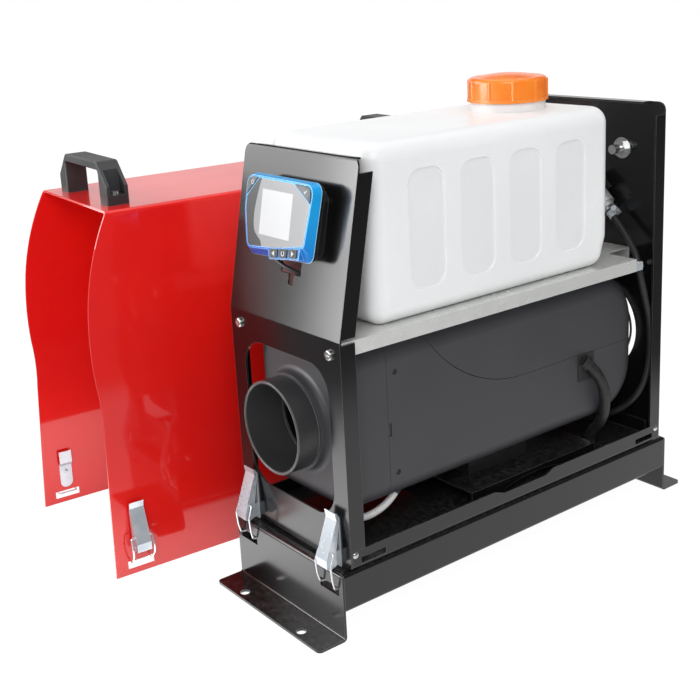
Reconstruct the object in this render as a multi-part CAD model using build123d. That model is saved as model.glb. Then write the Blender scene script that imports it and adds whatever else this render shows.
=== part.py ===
from build123d import *
import os
from math import atan2, cos, radians, sin, sqrt, tan

os.makedirs("parts", exist_ok=True)

# All-in-one diesel air heater: black sheet-steel chassis latched on a stand, plastic fuel tank on
# a shelf over the heater, controller on the sloped front, and the red cover standing beside it.
# Millimetres. +X right across the front, +Y to the back, +Z up. The origin is on the floor, in the
# middle of the four holes in the stand's feet.

# Stand
WIDTH = 145.0               # over the stand and the chassis
STAND_LENGTH = 386.0        # over the two stand plates
STAND_HEIGHT = 55.0
STAND_SHEET = 2.0
FOOT_DEPTH = 25.0           # foot flange, outwards from the plate
FOOT_HOLE_RADIUS = 4.0
FOOT_HOLE_SPACING = 80.0
FOOT_HOLE_SETBACK = 18.0    # hole centre in front of the plate
RAIL_DEPTH = 31.5           # height of the stand's side rail
RAIL_LIP = 12.0
STRIP_THICKNESS = 1.6       # rubber strip under the chassis
STRIP_INSET = 3.0           # the strip stops where the bends in the sheet begin

# Chassis
SHEET = 1.5
END_INSET = 9.5             # chassis end panel behind the stand plate
TRAY_RAIL_HEIGHT = 14.4
PANEL_LIFT = 1.2            # end panel's lower edge above the tray's underside
LOWER_HEIGHT = 179.9        # tray underside to the crease in the front panel
UPPER_HEIGHT = 130.5        # crease to the top of the front
BACK_RISE = 4.0             # the back panel stands this much higher
LEAN = 26.0                 # how far the upper front leans back
FLANGE = 14.0               # front panel's side returns
TOP_FLANGE = 13.0           # top edge folded back, square to the slope
BACK_FLANGE = 13.0
TOP_FLANGE_HALF = 58.0
TOP_HOLE_X = 44.6
CORNER = 8.0
OPENING_WIDTH = 112.0       # hole in the front panel round the outlet
OPENING_HEIGHT = 122.0
OPENING_CORNER = 24.0
OPENING_DROP = 64.0         # outlet axis above the opening's lower edge
SCREW_SPACING = 120.0
SCREW_DROP = 11.0           # shelf screws below the crease
RAIL_SLOT_LENGTH = 24.0
RAIL_SLOT_RISE = 3.0        # slot's lower edge above the tray's underside
RAIL_SLOT_HEIGHT = 5.0
RAIL_SLOT_INSET = 22.0      # slot centre from the chassis end
REAR_SCREWS = (-60.0, 14.0, 60.0)
TERMINAL_X = 27.0
TERMINAL_RISE = 90.5        # supply terminal above the crease

# Shelf and tank
SHELF_SHEET = 1.2
SHELF_LIP = 10.0
SHELF_END_LIP = 19.0
NOTCH_X = 36.0              # the shelf's rear right corner is left out from here
NOTCH_LENGTH = 33.0
TANK_SIDE_GAP = 6.5
TANK_LENGTH = 264.0
TANK_SETBACK = 40.0         # tank's front behind the chassis front
TANK_HEIGHT = 138.0
TANK_RADIUS = 14.0
TANK_TAPER = 9.0            # the rear wall slopes in by this much at the bottom
TANK_TAPER_RISE = 26.0
TANK_WALL = 3.0
NECK_BACK = 206.0           # neck axis behind the tank's front
NECK_RADIUS = 29.5
NECK_BORE = 26.0
NECK_HEIGHT = 23.5
COLLAR_RADIUS = 32.0
COLLAR_HEIGHT = 7.0
OUTLET_X = -36.0
OUTLET_RISE = 26.0          # tank outlet above the tank's underside
OUTLET_LENGTH = 10.0        # tank wall to the elbow's barb
OUTLET_BARB = 16.0
RECESSES = 4                # stiffening recesses in each long wall
RECESS_WIDTH = 36.0
RECESS_HEIGHT = 92.0

# Cap
CAP_RADIUS = 33.4
CAP_HEIGHT = 19.8
CAP_WALL = 2.2
CAP_RIBS = 10
GASKET = 1.5

# Heater
AXIS_RISE = 99.4            # outlet and fan axis above the tray's underside
CASING_WIDTH = 114.0
CASING_HEIGHT = 132.0
CASING_RADIUS = 17.0
CASING_WALL = 2.5
CASING_FRONT = 54.5         # casing's front seam behind the chassis front
CASING_LENGTH = 297.0
CASING_END_RADIUS = 46.0    # rounding of the casing's rear end, seen from the side
SEAM = 0.4
CAP_DEPTH = 43.0            # front cap, seam to face
NOSE_LENGTH = 8.0
NOSE_ROOT = 5.0             # rounding between the cap's face and the nose
SLEEVE = 2.0                # the sleeve inside the cap goes on behind the duct
NOSE_RADIUS = 39.5
DUCT_RADIUS = 37.5
DUCT_WALL = 2.3
DUCT_REACH = 20.0           # duct beyond the nose
DUCT_GRIP = 16.0            # duct inside the nose
DUCT_STEP = 0.6             # the gripped end is this much smaller in radius
DUCT_SHOULDER = 0.5         # gap between the duct's full radius and the nose
INTAKE_RADIUS = 40.0
PLATE_RISE = 15.4           # mounting plate's top above the tray's underside
EXCHANGER_RADIUS = 34.0
EXCHANGER_WALL = 4.0
EXCHANGER_LEAD = 24.0       # exchanger's front before the casing's seam
FIN_RADIUS = 50.0
FIN_THICKNESS = 2.2
FINS = 20
SHAFT_RADIUS = 2.0
SHAFT_CLEARANCE = 0.06
FAN_RADIUS = 37.5
STUB_RADIUS = 12.0
STUB_STEP = 0.6             # above the stand the stubs are this much smaller in radius
STUB_WALL = 1.8
STUB_DROP = 25.0            # the stubs' lower end under the top of the stand
EXHAUST_X = 17.0
INTAKE_X = -17.0
CUP_SETBACK = 137.0         # fan cup behind the casing's front seam
CUP_LENGTH = 28.0
MOTOR_LENGTH = 76.0         # cup's rear edge to the air fan
CUP_RADIUS = 48.0           # fan cup and motor flange
BURNER_RADIUS = 24.0
PLUG_RADIUS = 4.0
FOOT_HALF = 34.0            # cast foot on the mounting plate
FOOT_LENGTH = 70.0
FOOT_LEAD = 33.0            # foot's front edge before the fan cup
PLUG_LEAD = 30.0            # glow plug before the fan cup
PLATE_HALF = 61.5
BOARD_HALF = 36.0
BOARD_LENGTH = 78.0
BOARD_THICKNESS = 1.6
FAN_BLADES = 7
VANES = 12
GROMMET_WIDTH = 20.0
GROMMET_HEIGHT = 24.0
GROMMET_SETBACK = 217.0     # behind the casing's front seam
GROMMET_DROP = 23.0         # lower edge under the outlet axis
NIPPLE_X = 40.0             # fuel nipple under the casing, pointing forwards and down
NIPPLE_SETBACK = 20.0       # behind the casing's front seam
NIPPLE_RADIUS = 3.5
NIPPLE_REACH = 4.2

# Grille in the back panel: outer radius and width of each ring slot
GRILLE_OUTER = 45.0
GRILLE_SLOT = 5.5
GRILLE_WEB = 1.5
GRILLE_RINGS = 4
SPOKE = 2.2

# Controller on the sloped front
CONTROL_X = 4.7
CONTROL_RISE = 80.6         # controller's centre along the slope, above the crease
CONTROL_WIDTH = 90.6
CONTROL_HEIGHT = 62.4
CASE_DEPTH = 11.5
RIM_DEPTH = 3.6             # black rim under the bezel
BEZEL_DEPTH = 6.5
BEZEL_SLOPE = 2.9           # the face is this much narrower on each side
BEZEL_FRONT = 2.5
LENS_FRAME = 1.6            # visible frame between the lens and the face's edge
LENS_THICKNESS = 1.8
LCD_WIDTH = 42.5
LCD_HEIGHT = 33.0
LCD_U = -1.0
LCD_V = 3.4
KEY_PITCH = 12.2
KEY_ROW = (14.0, -23.7)     # middle of the row of three lower keys
KEY_TILT = 7.5              # the row climbs to the right by this angle
KEY_HALF = 5.2
KEY_HIGH = 3.1
KEY_FRAME = 1.3             # bezel between a key and the edges beside it
TAB_HALF = 19.6             # half length of the tab round the lower keys
LEFT_CUT = (-34.0, 20.0, 46.3)   # line that cuts the lens off from the upper left key
RIGHT_CUT = (32.0, 19.7, -30.6)  # the same at the upper right
BUTTON_TRAVEL = 0.8
BUTTON_PROUD = BUTTON_TRAVEL + 0.1
BUTTON_GAP = 0.3

# Draw latch
LATCH_SPACING = 112.0       # between the two latches on the front
LATCH_WIDTH = 13.0
LATCH_SHEET = 1.2
LATCH_PLATE = 42.0
LEVER_LENGTH = 36.0
FRONT_PIVOT_OUT = 9.0       # lever pivot in front of the panel
COVER_PIVOT_OUT = 6.0
BAIL_OUT = 1.5              # bail pivot beyond the lever pivot
BAIL_UP = 9.0               # bail pivot above the lever pivot
WIRE = 1.6
BAIL_HALF = 9.2
BAIL_BOW = 3.0              # how far the bail's legs bow out
HOOK_DEPTH = 5.2            # bar behind the legs
FRONT_PIVOT_RISE = 5.4      # lever pivot above the tray's underside
SLOT_WIDTH = 24.0
SLOT_HEIGHT = 7.5
SLOT_DROP = 10.7            # top of the front slot below the stand's top

# Cover
COVER_CLEARANCE = 0.5       # between the chassis and the cover's sides
COVER_HEIGHT = 314.4
COVER_BEND = 4.0
COVER_SPLAY = 2.9           # each leg stands out this many degrees
COVER_LENGTH = 383.0
COVER_TOP_SETBACK = 32.0
COVER_X = -227.1
COVER_Y = -273.5
COVER_TURN = -4.16
COVER_LATCH_BACK = 24.5
COVER_SLOT_RISE = 4.6
COVER_PIVOT_RISE = 26.0
HANDLE_LENGTH = 108.0
HANDLE_TOP = 72.0
HANDLE_HEIGHT = 35.5
HANDLE_DEPTH = 20.0
HANDLE_LEG = 15.5
HANDLE_BAR = 6.8
HANDLE_SETBACK = 20.0
HANDLE_REAR_SETBACK = 12.0

# Fits
FIT = 0.05                  # between pieces that are pushed or clamped together
SEAT_GAP = 0.1              # between a sheet and the sheets that it stands between
SCREW_SHANK = 1.8
SCREW_HOLE = 2.1
SCREW_HEAD = 4.0
SCREW_HEAD_HEIGHT = 2.4

# Hoses and cables
HOSE_RADIUS = 3.0
LINE_RADIUS = 3.0
CABLE_RADIUS = 5.0
LEAD_RADIUS = 1.7
LEAD_X = 16.0               # controller cable behind the front panel
PUMP_TILT = 48.0            # degrees from upright, the top towards -X
PUMP_BODY = 50.0
PUMP_RADIUS = 10.0
PUMP_NIPPLE = 12.0

# Places that follow from the sizes above
HALF = WIDTH / 2
PLATE_Y = STAND_LENGTH / 2
BOTTOM = STAND_HEIGHT + STRIP_THICKNESS
FLOOR = BOTTOM + SHEET
FRONT = END_INSET - PLATE_Y
BACK = PLATE_Y - END_INSET
CREASE = BOTTOM + LOWER_HEIGHT
TOP = CREASE + UPPER_HEIGHT
LEAN_ANGLE = atan2(LEAN, UPPER_HEIGHT)
RAIL_TOP = BOTTOM + TRAY_RAIL_HEIGHT
SHELF_TOP = CREASE - 0.7
AXIS = BOTTOM + AXIS_RISE
CASING_Y = FRONT + CASING_FRONT
CASING_END = CASING_Y + CASING_LENGTH
CASING_BOTTOM = AXIS - CASING_HEIGHT / 2
CASING_TOP = AXIS + CASING_HEIGHT / 2
PLATE_TOP = BOTTOM + PLATE_RISE
TANK_Y = FRONT + TANK_SETBACK
TANK_END = TANK_Y + TANK_LENGTH
TANK_TOP = SHELF_TOP + TANK_HEIGHT
NECK_Y = TANK_Y + NECK_BACK
NECK_TOP = TANK_TOP + NECK_HEIGHT
CAP_FACE = CASING_Y - SEAM - CAP_DEPTH
NOSE_END = CAP_FACE - NOSE_LENGTH
CUP_START = CASING_Y + CUP_SETBACK
MOTOR_START = CUP_START + CUP_LENGTH
FAN_START = MOTOR_START + MOTOR_LENGTH
COVER_HALF = HALF + COVER_CLEARANCE + SHEET
FRONT_PIVOT_Z = BOTTOM + FRONT_PIVOT_RISE
TERMINAL_Z = CREASE + TERMINAL_RISE
OUTLET_Y = TANK_END + OUTLET_LENGTH
OUTLET_Z = SHELF_TOP + OUTLET_RISE
BACK_TOP = TOP + BACK_RISE
STUB_Y = CUP_START + 2.0
STUB_LOW = STAND_HEIGHT - STUB_DROP
FOOT_Y = CUP_START - FOOT_LEAD
PLUG_Y = CUP_START - PLUG_LEAD
BOARD_Y = MOTOR_START + 5.0
BOARD_Z = CASING_TOP - 16.5
GROMMET_Y = CASING_Y + GROMMET_SETBACK
GROMMET_Z = AXIS - GROMMET_DROP
NIPPLE_Y = CASING_Y + NIPPLE_SETBACK
LEAD_Y = FRONT + 14.0
PUMP_LOW = (21.0, BACK - 14.5, CREASE + 35.5)


def block(x0, x1, y0, y1, z0, z1):
    """A box between two corners."""
    return Pos((x0 + x1) / 2, (y0 + y1) / 2, (z0 + z1) / 2) * Box(x1 - x0, y1 - y0, z1 - z0)


def rod(x, z, radius, y0, y1):
    """A cylinder along Y."""
    return Pos(x, (y0 + y1) / 2, z) * Rot(90, 0, 0) * Cylinder(radius, y1 - y0)


def post(x, y, radius, z0, z1):
    """A cylinder along Z."""
    return Pos(x, y, (z0 + z1) / 2) * Cylinder(radius, z1 - z0)


def ring_post(x, y, radius, bore, z0, z1):
    return post(x, y, radius, z0, z1) - post(x, y, bore, z0 - 1, z1 + 1)


def across(face, x0, x1):
    """Extrude a sketch drawn in Y and Z from x0 to x1."""
    return Pos(x0, 0, 0) * extrude(Plane.YZ * face, x1 - x0, dir=(1, 0, 0))


def along(face, y0, y1):
    """Extrude a sketch drawn in X and Z from y0 to y1."""
    return Pos(0, y0, 0) * extrude(Plane.XZ * face, y1 - y0, dir=(0, 1, 0))


def upward(face, z0, z1):
    """Extrude a sketch drawn in X and Y from z0 to z1."""
    return Pos(0, 0, z0) * extrude(face, z1 - z0, dir=(0, 0, 1))


def strip(points, radii, thickness, side):
    """Section of a bent sheet: its outer line and the side that the metal lies on."""
    line = FilletPolyline(points, radius=radii)
    return make_face(offset(line, amount=thickness, side=side))


def rounded(width, height, radius):
    return RectangleRounded(width, height, radius)


def arc_radii(points):
    """The largest arc that each corner of a hose's route has room for."""
    radii = []
    for before, here, after in zip(points, points[1:], points[2:]):
        run_in = Vector(*here) - Vector(*before)
        run_out = Vector(*after) - Vector(*here)
        turn = radians(run_in.get_angle(run_out))
        shorter = min(run_in.length, run_out.length)
        radii.append(0.45 * shorter / tan(turn / 2))
    return radii


def hose(name, points, radius):
    """A round hose or cable along straight runs joined by tangent arcs."""
    radii = arc_radii(points)
    path = FilletPolyline(points, radius=radii)
    print(name, "length", round(path.length, 1), "radii", [round(r, 1) for r in radii])
    start = Plane(origin=path @ 0, z_dir=path % 0)
    return sweep(start * Circle(radius), path=path)


# Stand

def front_stand_plate():
    """Plate with the foot outwards at the floor and a lip inwards at the top."""
    face = -PLATE_Y
    points = [
        (face - FOOT_DEPTH, STAND_SHEET),
        (face, STAND_SHEET),
        (face, STAND_HEIGHT),
        (face + STAND_SHEET + RAIL_LIP, STAND_HEIGHT),
    ]
    plate = across(strip(points, [1.5, 3.0], STAND_SHEET, Side.RIGHT), -HALF, HALF)
    corners = plate.edges().filter_by(Axis.Z).group_by(Axis.Y)[0]
    plate = fillet(corners, 4.0)
    for side in (-1, 1):
        relief = block(0, RAIL_LIP, 0, 3 * RAIL_LIP, -10, 1)
        relief_x = HALF - RAIL_LIP if side > 0 else -HALF
        plate -= Pos(relief_x, face + STAND_SHEET, STAND_HEIGHT) * relief
        hole_x = side * FOOT_HOLE_SPACING / 2
        plate -= post(hole_x, face - FOOT_HOLE_SETBACK, FOOT_HOLE_RADIUS, -1, STAND_SHEET + 1)
        plate -= Pos(side * LATCH_SPACING / 2, face, 0) * latch_slot()
    return plate


def latch_slot():
    top = STAND_HEIGHT - SLOT_DROP
    return block(-SLOT_WIDTH / 2, SLOT_WIDTH / 2, -5, 5, top - SLOT_HEIGHT, top)


def stand_plates():
    front = front_stand_plate()
    return [front, Rot(0, 0, 180) * front]


def stand_rails():
    points = [
        (HALF - RAIL_LIP, STAND_HEIGHT - RAIL_DEPTH),
        (HALF, STAND_HEIGHT - RAIL_DEPTH),
        (HALF, STAND_HEIGHT),
        (HALF - RAIL_LIP, STAND_HEIGHT),
    ]
    inside = PLATE_Y - STAND_SHEET
    right = along(strip(points, [3.0, 3.0], STAND_SHEET, Side.LEFT), -inside, inside)
    return [right, Rot(0, 0, 180) * right]


def rest_strips():
    reach = PLATE_Y - 20
    outer = HALF - STRIP_INSET
    right = block(outer - 8, outer, -reach, reach, STAND_HEIGHT, BOTTOM)
    return [right, Rot(0, 0, 180) * right]


# Chassis

def floor_tray():
    """Floor with a low rail bent up at each side and a lip at each end."""
    end = BACK - SHEET
    points = [(-HALF, RAIL_TOP), (-HALF, BOTTOM), (HALF, BOTTOM), (HALF, RAIL_TOP)]
    tray = along(strip(points, [2.5, 2.5], SHEET, Side.LEFT), -end, end)
    for side in (-1, 1):
        lip = block(-HALF + 14, HALF - 14, 0, SHEET, BOTTOM, RAIL_TOP)
        tray += Pos(0, end - SHEET if side > 0 else -end, 0) * lip
        slot_low = BOTTOM + RAIL_SLOT_RISE
        slot = block(-HALF - 2, HALF + 2, -RAIL_SLOT_LENGTH / 2, RAIL_SLOT_LENGTH / 2,
                     slot_low, slot_low + RAIL_SLOT_HEIGHT)
        tray -= Pos(0, side * (BACK - RAIL_SLOT_INSET), 0) * slot
    dip = Polygon((-34, RAIL_TOP + 1), (-20, RAIL_TOP - 4), (30, RAIL_TOP - 4),
                  (42, RAIL_TOP + 1), align=None)
    tray -= across(dip, -HALF - 2, HALF + 2)
    tray -= post(EXHAUST_X, STUB_Y, STUB_RADIUS + 1.5, BOTTOM - 1, FLOOR + 1)
    tray -= post(INTAKE_X, STUB_Y, STUB_RADIUS + 1.5, BOTTOM - 1, FLOOR + 1)
    return tray


def panel_outline(top):
    """Front view of an end panel, with its two upper corners rounded."""
    low = BOTTOM + PANEL_LIFT
    outline = Pos(0, (low + top) / 2) * Rectangle(WIDTH, top - low)
    return fillet(outline.vertices().group_by(Axis.Y)[-1], CORNER)


def front_panel():
    low = BOTTOM + PANEL_LIFT
    edge = FRONT + LEAN
    points = [
        (FRONT, low),
        (FRONT, CREASE),
        (edge, TOP),
        (edge + TOP_FLANGE * cos(LEAN_ANGLE), TOP - TOP_FLANGE * sin(LEAN_ANGLE)),
    ]
    panel = across(strip(points, [4.0, 3.0], SHEET, Side.RIGHT), -HALF, HALF)
    panel &= along(panel_outline(TOP), FRONT - 5, FRONT + 60)
    for side in (-1, 1):
        inner = TOP_FLANGE_HALF if side > 0 else -HALF - 1
        outer = HALF + 1 if side > 0 else -TOP_FLANGE_HALF
        panel -= block(inner, outer, edge + 1.8, edge + TOP_FLANGE + 1, TOP - 6, TOP + 1)
        panel -= post(side * TOP_HOLE_X, edge + 9, 2.0, TOP - 6, TOP + 1)
    panel -= along(front_holes(), FRONT - 1, FRONT + 40)
    wall = HALF - SHEET
    for inner in (-HALF, wall):
        panel += block(inner, inner + SHEET, FRONT + SHEET, FRONT + FLANGE, RAIL_TOP + 0.3, CREASE - 2)
        panel += across(upper_flange(), inner, inner + SHEET)
    return panel


def upper_flange():
    """Side return of the sloped part, from just above the crease to below the top corner."""
    slope = LEAN / UPPER_HEIGHT
    z0 = CREASE + 2.0
    z1 = TOP - CORNER - 3.0
    y0 = FRONT + SHEET + slope * (z0 - CREASE)
    y1 = FRONT + SHEET + slope * (z1 - CREASE)
    reach = FLANGE - SHEET
    return Polygon((y0, z0), (y0 + reach, z0), (y1 + reach, z1), (y1, z1), align=None)


def front_holes():
    """Outlet opening, cable cut-out below the controller and the two shelf screws."""
    centre = AXIS - OPENING_DROP + OPENING_HEIGHT / 2
    holes = Pos(0, centre) * rounded(OPENING_WIDTH, OPENING_HEIGHT, OPENING_CORNER)
    holes += Pos(5, CREASE + 46) * Rectangle(26, 15)
    holes += Pos(6, CREASE + 35) * Rectangle(6.5, 9)
    for side in (-1, 1):
        holes += Pos(side * SCREW_SPACING / 2, CREASE - SCREW_DROP) * Circle(SCREW_HOLE)
    return holes


def back_panel():
    low = BOTTOM + PANEL_LIFT
    points = [(BACK, low), (BACK, BACK_TOP), (BACK - BACK_FLANGE, BACK_TOP)]
    panel = across(strip(points, [3.0], SHEET, Side.LEFT), -HALF, HALF)
    panel &= along(panel_outline(BACK_TOP), BACK - 30, BACK + 5)
    for inner, outer in ((TOP_FLANGE_HALF, HALF + 1), (-HALF - 1, -TOP_FLANGE_HALF)):
        panel -= block(inner, outer, BACK - 20, BACK - 1.8, BACK_TOP - 6, BACK_TOP + 1)
    for inner in (-HALF, HALF - SHEET):
        panel += block(inner, inner + SHEET, BACK - BACK_FLANGE, BACK - SHEET,
                       RAIL_TOP + 0.3, BACK_TOP - CORNER - 3)
    panel -= along(grille(), BACK - 5, BACK + 1)
    panel -= rod(TERMINAL_X, TERMINAL_Z, 4.3, BACK - 5, BACK + 1)
    for x in REAR_SCREWS:
        panel -= rod(x, CREASE - SCREW_DROP, SCREW_HOLE, BACK - 5, BACK + 1)
    return panel


def grille():
    """Ring slots round the fan axis, cut by two diagonal spokes."""
    slots = Sketch()
    for ring in range(GRILLE_RINGS):
        outer = GRILLE_OUTER - ring * (GRILLE_SLOT + GRILLE_WEB)
        slots += Circle(outer) - Circle(outer - GRILLE_SLOT)
    for turn in (45, 135):
        slots -= Rot(0, 0, turn) * Rectangle(3 * GRILLE_OUTER, SPOKE)
    return Pos(0, AXIS) * slots


def shelf():
    """Galvanised shelf under the tank, with lips down on all sides."""
    wide = HALF - SHEET - SEAT_GAP
    end = BACK - SHEET
    lip_low = SHELF_TOP - SHELF_SHEET - SHELF_LIP
    end_low = SHELF_TOP - SHELF_SHEET - SHELF_END_LIP
    plate = block(-wide, wide, -end, end, SHELF_TOP - SHELF_SHEET, SHELF_TOP)
    side_end = end - NOTCH_LENGTH
    for inner in (-wide, wide - SHELF_SHEET):
        plate += block(inner, inner + SHELF_SHEET, -end, side_end, lip_low, SHELF_TOP)
    plate += block(-wide + 5, wide - 5, -end, SHELF_SHEET - end, end_low, SHELF_TOP)
    plate += block(-wide + 5, NOTCH_X, end - SHELF_SHEET, end, end_low, SHELF_TOP)
    plate -= block(NOTCH_X, wide + 1, side_end, end + 1, end_low - 1, SHELF_TOP + 1)
    plate -= post(LEAD_X, LEAD_Y, LEAD_RADIUS + 1.2, SHELF_TOP - 5, SHELF_TOP + 5)
    screw_z = CREASE - SCREW_DROP
    for side in (-1, 1):
        plate -= rod(side * SCREW_SPACING / 2, screw_z, SCREW_SHANK + SEAT_GAP, -end - 1, 5 - end)
    for x in REAR_SCREWS[:2]:
        plate -= rod(x, screw_z, SCREW_SHANK + SEAT_GAP, end - 5, end + 1)
    return plate


# Tank and cap

def fuel_tank():
    half = HALF - TANK_SIDE_GAP
    wall = TANK_WALL
    shell = tank_body(0)
    inside = tank_body(wall)
    shell -= tank_recesses(half)
    shell += post(0, NECK_Y, COLLAR_RADIUS, TANK_TOP - wall, TANK_TOP + COLLAR_HEIGHT)
    shell += post(0, NECK_Y, NECK_RADIUS, TANK_TOP, NECK_TOP)
    shell += rod(OUTLET_X, OUTLET_Z, 8, TANK_END - wall - 3, TANK_END + 2)
    shell -= inside
    shell -= post(0, NECK_Y, NECK_BORE, TANK_TOP - 2 * wall, NECK_TOP + 1)
    shell -= rod(OUTLET_X, OUTLET_Z, 3, TANK_END - 4 * wall, TANK_END + 3)
    return shell


def tank_body(inset):
    """Rounded block whose rear wall slopes in towards the bottom."""
    half = HALF - TANK_SIDE_GAP - inset
    low = SHELF_TOP + inset
    front = TANK_Y + inset
    end = TANK_END - inset
    outline = Polygon((front, low), (end - TANK_TAPER, low), (end, low + TANK_TAPER_RISE),
                      (end, TANK_TOP - inset), (front, TANK_TOP - inset), align=None)
    body = across(outline, -half, half)
    return fillet(body.edges(), TANK_RADIUS - inset)


def tank_recesses(half):
    """Plain upright recesses that stiffen the tank's two long walls."""
    depth = 1.2
    panels = Sketch()
    for column in range(RECESSES):
        y = TANK_Y + TANK_LENGTH * (column + 1) / (RECESSES + 1)
        panels += Pos(y, SHELF_TOP + TANK_HEIGHT / 2) * rounded(RECESS_WIDTH, RECESS_HEIGHT, 12)
    right = across(panels, half - depth, half + 1)
    left = across(panels, -half - 1, depth - half)
    return right + left


def tank_outlet():
    """Elbow screwed in the tank's rear wall, with its barb pointing up."""
    start = TANK_END + 2
    fitting = rod(OUTLET_X, OUTLET_Z, 6.5, start, start + 3)
    fitting += rod(OUTLET_X, OUTLET_Z, 2.9, TANK_END - TANK_WALL, OUTLET_Y)
    fitting += Pos(OUTLET_X, OUTLET_Y, OUTLET_Z) * Sphere(3.4)
    fitting += post(OUTLET_X, OUTLET_Y, 2.0, OUTLET_Z, OUTLET_Z + OUTLET_BARB)
    return fitting


def cap_gasket():
    return ring_post(0, NECK_Y, NECK_RADIUS, NECK_BORE, NECK_TOP, NECK_TOP + GASKET)


def tank_cap():
    """Screw cap: ribbed skirt, low dome and a lip round the lower edge."""
    top = NECK_TOP + GASKET
    low = top + CAP_WALL - CAP_HEIGHT
    outer = post(0, NECK_Y, CAP_RADIUS, low, top + CAP_WALL)
    outer = fillet(outer.edges().group_by(Axis.Z)[-1], CAP_WALL + 1.5)
    outer += post(0, NECK_Y, CAP_RADIUS + 1.0, low, low + 2.0)
    for rib in range(CAP_RIBS):
        turn = Pos(0, NECK_Y, 0) * Rot(0, 0, 360 / CAP_RIBS * rib)
        grip = post(CAP_RADIUS - 1.2, 0, 2.2, low, top + CAP_WALL - 2.0)
        outer += turn * grip
    outer += Pos(0, NECK_Y, top + CAP_WALL) * dome(CAP_RADIUS - 7, 3.0)
    return outer - post(0, NECK_Y, NECK_RADIUS + 0.7, low - 1, top)


def dome(radius, height):
    """Low dome standing on the XY plane."""
    sphere = (radius ** 2 + height ** 2) / (2 * height)
    ball = Pos(0, 0, height - sphere) * Sphere(sphere)
    return ball & Pos(0, 0, height / 2) * Cylinder(radius, height)


# Heater casing

def casing_section(inset):
    width = CASING_WIDTH - 2 * inset
    height = CASING_HEIGHT - 2 * inset
    return Pos(0, AXIS) * rounded(width, height, CASING_RADIUS - inset)


def casing_body(inset):
    """The whole casing, rounded at the rear, drawn in by inset on every side."""
    start = CASING_Y if inset == 0 else CASING_Y - 1
    end = CASING_END - inset
    half = CASING_WIDTH / 2 - inset
    side = Pos((start + end) / 2, AXIS) * Rectangle(end - start, CASING_HEIGHT - 2 * inset)
    side = fillet(side.vertices().group_by(Axis.X)[-1], CASING_END_RADIUS - inset)
    body = across(side, -half, half)
    flanks = body.faces().filter_by(Axis.X)
    rims = [edge for face in flanks for edge in face.edges() if edge.center().Y > start + 1]
    return fillet(rims, CASING_RADIUS - inset)


def lid_region(grow):
    """Side view of the lid: it comes down in a curve and runs level to the rear."""
    start = (CASING_Y + 39 - grow, CASING_TOP + 5)
    low = (CASING_Y + 39 - grow, CASING_TOP - 4)
    bend = (CASING_Y + 66 - grow, AXIS + 32 - grow)
    turn = (CASING_Y + 150 - grow, AXIS + 2 - grow)
    end = (CASING_END + 10, AXIS + 2 - grow)
    edge = Line(start, low) + ThreePointArc(low, bend, turn) + Line(turn, end)
    edge += Polyline(end, (CASING_END + 10, CASING_TOP + 5), start)
    return across(make_face(edge), -CASING_WIDTH, CASING_WIDTH)


def heater_shell():
    """Casing wall with the round intake collar at the rear."""
    shell = casing_body(0)
    shell += rod(0, AXIS, INTAKE_RADIUS + CASING_WALL, CASING_END - 30, CASING_END + 1)
    shell -= casing_body(CASING_WALL)
    return shell - rod(0, AXIS, INTAKE_RADIUS, CASING_END - 40, CASING_END + 2)


def heater_lid():
    lid = heater_shell() & lid_region(0)
    for x in (-BOARD_HALF + 4, BOARD_HALF - 4):
        for y in (BOARD_Y + 4, BOARD_Y + BOARD_LENGTH - 4):
            lid += post(x, y, 3, BOARD_Z + BOARD_THICKNESS, CASING_TOP - CASING_WALL + 0.2)
    return lid


def heater_casing():
    """Lower shell: foot opening, grommet window, screw pockets and fuel nipple underneath."""
    shell = heater_shell() - lid_region(SEAM)
    shell -= block(-FOOT_HALF - 0.4, FOOT_HALF + 0.4, FOOT_Y - 0.4, FOOT_Y + FOOT_LENGTH + 0.4,
                   CASING_BOTTOM - 1, CASING_BOTTOM + 4)
    half = CASING_WIDTH / 2
    shell -= block(half - 4, half + 1, GROMMET_Y, GROMMET_Y + GROMMET_WIDTH,
                   GROMMET_Z, GROMMET_Z + GROMMET_HEIGHT)
    for side in (-1, 1):
        for dz in (-43, 40):
            pocket = Pos(side * half, CASING_Y + 8, AXIS + dz) * Rot(0, 90, 0) * Cylinder(2.4, 3.6)
            shell -= pocket
        shell -= Pos(side * half, CASING_Y + 1.5, AXIS - 6) * Box(2.4, 3.1, 11)
    nipple = post(0, 0, NIPPLE_RADIUS, -NIPPLE_REACH, 1.1 * NIPPLE_RADIUS)
    return shell + frame_on(nipple_point(0), (0, 1, 1)) * nipple


def nipple_point(distance):
    """A point on the fuel nipple's axis, measured forwards and down from the casing."""
    return (NIPPLE_X, NIPPLE_Y - distance * sqrt(0.5), CASING_BOTTOM - distance * sqrt(0.5))


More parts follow.
